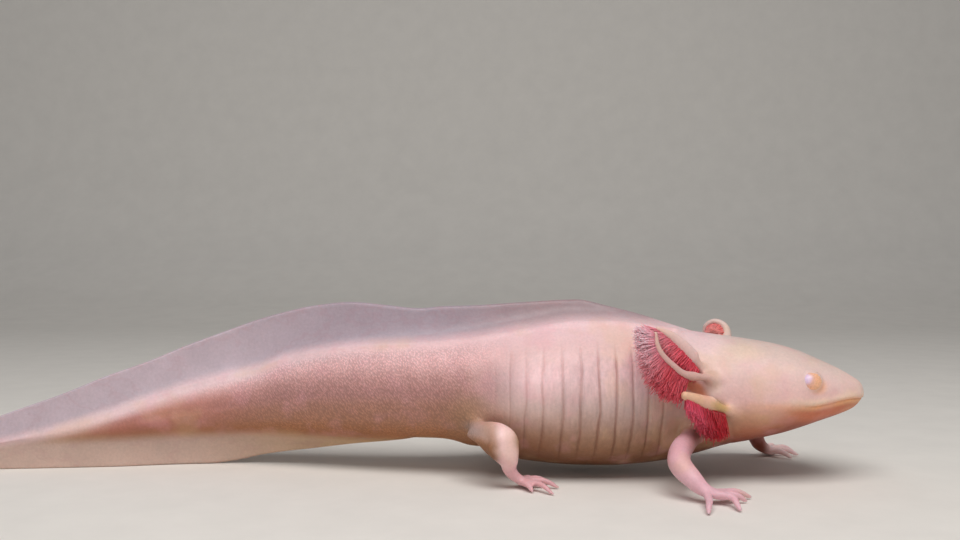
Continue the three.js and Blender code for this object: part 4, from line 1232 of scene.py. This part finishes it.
def gillFilaments(name, random):
    # thin tapering tubes: path root + length * (way * s + droop * s^2 + curl * s^1.5), rings of
    # shrinking radius round it
    plan, setting = gillSettings[name], filamentSettings
    columns, rows = setting["along"], setting["rows"]
    share = np.repeat(np.linspace(0, 1, columns), rows)
    row = np.tile(np.linspace(-1, 1, rows), columns)
    count = columns * rows
    share = np.clip(share + random.normal(0, setting["jitter"] / columns, count), 0, 1)
    bare = plan.get("first", setting["first"])
    along = np.clip(bare + (setting["last"] - bare) * share, 0, 1)
    place = catmullRom(plan["stops"], along * (len(plan["stops"]) - 1))
    root, thick = place[:, :3], 0.5 * (place[:, 3] + place[:, 4])
    way = mixAlong(plan["lie"], share)
    way /= np.linalg.norm(way, axis=1, keepdims=True)
    way[:, 1] += plan["side"] * setting["fan"] * row * (0.7 + 0.3 * random.random(count))
    way += random.normal(0, setting["stray"], (count, 3))
    way /= np.linalg.norm(way, axis=1, keepdims=True)
    length = mixAlong(plan["length"], share)[:, 0]
    outer = 1.0 - setting["outerLoss"] * np.abs(row)
    length = length * outer * random.uniform(*setting["lengths"], count)
    sideways = np.zeros((count, 3))
    sideways[:, 1] = plan["side"] * row
    seat = sideways * thick[:, None] * setting["seatOut"]
    root = root + seat + way * (setting["seatDeep"] * thick)[:, None]

    rings, sides = setting["rings"], setting["sides"]
    s = np.linspace(0, 1, rings)[None, :, None]
    droop = np.array([0.0, 0.0, -1.0])[None, None, :]
    curl = setting["curl"]
    swirl = np.clip(random.normal(0, curl, (count, 1, 3)), -2 * curl, 2 * curl)
    wave = np.sin(s * setting["waves"] + random.uniform(0, 6.28, (count, 1, 1))) * swirl
    bend = way[:, None, :] * s + droop * setting["droop"] * s ** 2 + wave * s ** 1.5
    path = root[:, None, :] + length[:, None, None] * bend
    heading = np.gradient(path, axis=1)
    heading /= np.linalg.norm(heading, axis=2, keepdims=True)
    across = np.cross(heading, np.array([0.3, 1.0, 0.2]))
    across /= np.linalg.norm(across, axis=2, keepdims=True) + 1e-9
    raised = np.cross(across, heading)
    taper = setting["root"] + (setting["tip"] - setting["root"]) * s ** 1.5
    angle = (np.arange(sides) / sides * 2 * math.pi)[None, None, :, None]
    shell = path[:, :, None, :] + taper[:, :, None] * (across[:, :, None, :] * np.cos(angle)
                                                       + raised[:, :, None, :] * np.sin(angle))
    tips = path[:, -1] + heading[:, -1] * setting["tip"]
    points = np.concatenate([shell.reshape(count, rings * sides, 3), tips[:, None, :], path[:, :1]], axis=1)
    return points, share


def filamentFaces(count, rings, sides):
    # side cells of every tube, then a fan at its tip and at its root
    stride = rings * sides + 2
    cells = ringFaces(rings, sides)
    k = np.arange(sides)
    n = (k + 1) % sides
    last = (rings - 1) * sides
    tip = np.stack([last + k, last + n, np.full(sides, rings * sides)], axis=1)
    base = np.stack([n, k, np.full(sides, rings * sides + 1)], axis=1)
    starts = (np.arange(count) * stride)[:, None, None]
    quads = (cells[None] + starts).reshape(-1, 4)
    threes = (np.vstack([tip, base])[None] + starts).reshape(-1, 3)
    return quads, threes


def makeGill(name, node, random):
    # all filaments of one gill as one mesh, with a small patch of the OFBake map for each
    setting = filamentSettings
    points, share = gillFilaments(name, random)
    points[:, :, 2] = np.maximum(points[:, :, 2], setting["lowest"])
    count = len(points)
    quads, threes = filamentFaces(count, setting["rings"], setting["sides"])
    flat = points.reshape(-1, 3)
    gill = makeMesh("filaments" + name[0].upper() + name[1:], flat, quads, threes)
    rings, sides = setting["rings"], setting["sides"]
    ringOf = np.concatenate([np.repeat(np.linspace(0, 1, rings), sides), [1.0, 0.0]])
    sideOf = np.concatenate([np.tile(np.arange(sides) / sides, rings), [0.5, 0.5]])
    each = rings * sides + 2                               # points of one filament
    addAttribute(gill, "chance", np.repeat(random.random(count), each))
    kind = name if name in setting["tones"] else name.replace("right", "").replace("left", "")
    tones = [linear(*rgb) for rgb in setting["tones"][kind]]
    along = np.repeat(smoothStep(0.25, 0.95, share), each)
    reach = np.tile(ringOf, count)
    nearRoot, nearTip = mixTone(tones[0], tones[1], reach), mixTone(tones[2], tones[3], reach)
    addAttribute(gill, "tone", mixTone(nearRoot, nearTip, along))

    # root's place on an unwrap of the body: length along u, height round v, left side in the upper half
    root = points[:, -1]
    under, back, _, _, middle = fleshAt(root[:, 0])
    u = (root[:, 0] - setting["mapFrom"]) / setting["mapLength"]
    level = np.clip((root[:, 2] - under) / (back - under), 0, 1)
    v = 0.25 + 0.2 * (level - 0.5) + 0.5 * (root[:, 1] > middle)
    uPoint = np.repeat(u, each) + setting["patch"] * (np.tile(sideOf, count) - 0.5)
    vPoint = np.repeat(v, each) + setting["patch"] * (np.tile(ringOf, count) - 0.5)
    layer = gill.data.uv_layers.new(name="OFBake")
    loops = np.empty(len(gill.data.loops), np.int64)
    gill.data.loops.foreach_get("vertex_index", loops)
    layer.data.foreach_set("uv", np.stack([uPoint[loops], vPoint[loops]], axis=1).astype(np.float32).ravel())
    shadeSmooth(gill)
    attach(gill, "root")
    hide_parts(node)
    return gill


def gillMaterial():
    # painted crimson to pink, each filament a little different, the brightest partly as painted highlights
    s = Shader("gillFilament")
    fleck = s.noise(2400.0, 2.0, 0.5)
    base = s.speckle(s.attribute("tone", "Color"), s.attribute("chance"), 0.0, 1.0, 0.84, 1.26)
    base = s.speckle(base, fleck, 0.3, 0.7, 0.9, 1.1)
    roughness = s.remap(fleck, 0.3, 0.7, 0.32, 0.5)
    return s.cover(base, roughness, s.bump(fleck, 0.00005, 0.3), filamentSettings["surface"])


gillLook = gillMaterial()
gillRandom = np.random.default_rng(filamentSettings["seed"])
gillNodes = {
    "rightTop": "gill_right_top", "rightMiddle": "gill_right_middle", "rightLow": "gill_right_low",
    "leftTop": "gill_left_top", "leftMiddle": "gill_left_middle", "leftLow": "gill_left_low",
}
for name in gillNames:
    gill = makeGill(name, gillNodes[name], gillRandom)
    gill.data.materials.append(gillLook)
print("stage 9: gill filaments")


stageSettings = {
    "floor": (232, 228, 222),
    "world": (0.80, 0.82, 0.85),
    "worldStrength": 0.22,
}


def makeFloor():
    # wide level floor that curves up into a wall well behind
    depth = np.array([-900.0, 500.0, 620.0, 700.0, 740.0, 750.0, 750.0])
    height = np.array([0.0, 0.0, 12.0, 52.0, 120.0, 220.0, 900.0])
    wide = np.array([-1500.0, 1500.0])
    points = np.stack([np.tile(wide, len(depth)), np.repeat(depth, 2), np.repeat(height, 2)], axis=1)
    i = 2 * np.arange(len(depth) - 1)[:, None]
    faces = i + np.array([0, 1, 3, 2])
    floor = makeMesh("floor", points - origin, faces)
    s = Shader("paleFloor")
    plain = tuple(linear(*stageSettings["floor"]))
    s.feed(s.surface, "Base Color", s.speckle(plain, s.noise(60.0, 4.0, 0.6), 0.3, 0.7, 0.97, 1.02))
    s.surface.inputs["Roughness"].default_value = 0.75
    floor.data.materials.append(s.material)
    shadeSmooth(floor)


def addLight(name, place, target, size, power, colour):
    # soft rectangle at place turned to the target, in metres and watts
    light = bpy.data.lights.new(name, "AREA")
    light.shape = "RECTANGLE"
    light.size, light.size_y = size
    light.energy = power
    light.color = colour
    lamp = bpy.data.objects.new(name, light)
    bpy.context.scene.collection.objects.link(lamp)
    lamp.location = Vector(place)
    lamp.rotation_euler = (Vector(target) - Vector(place)).to_track_quat("-Z", "Y").to_euler()


makeFloor()
world = bpy.data.worlds.new("studio")
world.use_nodes = True
world.node_tree.nodes["Background"].inputs[0].default_value = (*stageSettings["world"], 1.0)
world.node_tree.nodes["Background"].inputs[1].default_value = stageSettings["worldStrength"]
bpy.context.scene.world = world
bpy.context.scene.view_settings.view_transform = "Standard"
addLight("keyAbove", (0.04, -0.30, 0.58), (0.0, 0.0, 0.02), (0.6, 0.35), 3.5, (1.0, 0.98, 0.96))
addLight("fillFront", (-0.15, -0.75, 0.35), (0.0, 0.0, 0.02), (0.6, 0.4), 0.4, (1.0, 0.97, 0.95))

camera = bpy.data.cameras.new("camera")
camera.lens = cameraSettings["lens"]
camera.sensor_width = 36.0
camera.clip_start = 0.01
eyePoint = bpy.data.objects.new("camera", camera)
bpy.context.scene.collection.objects.link(eyePoint)
eyePoint.location = Vector(cameraSettings["place"]) * mm
eyePoint.rotation_euler = (math.radians(90.0 - cameraSettings["pitch"]), 0.0, 0.0)
bpy.context.scene.camera = eyePoint
print("stage 10: floor, lights and camera")
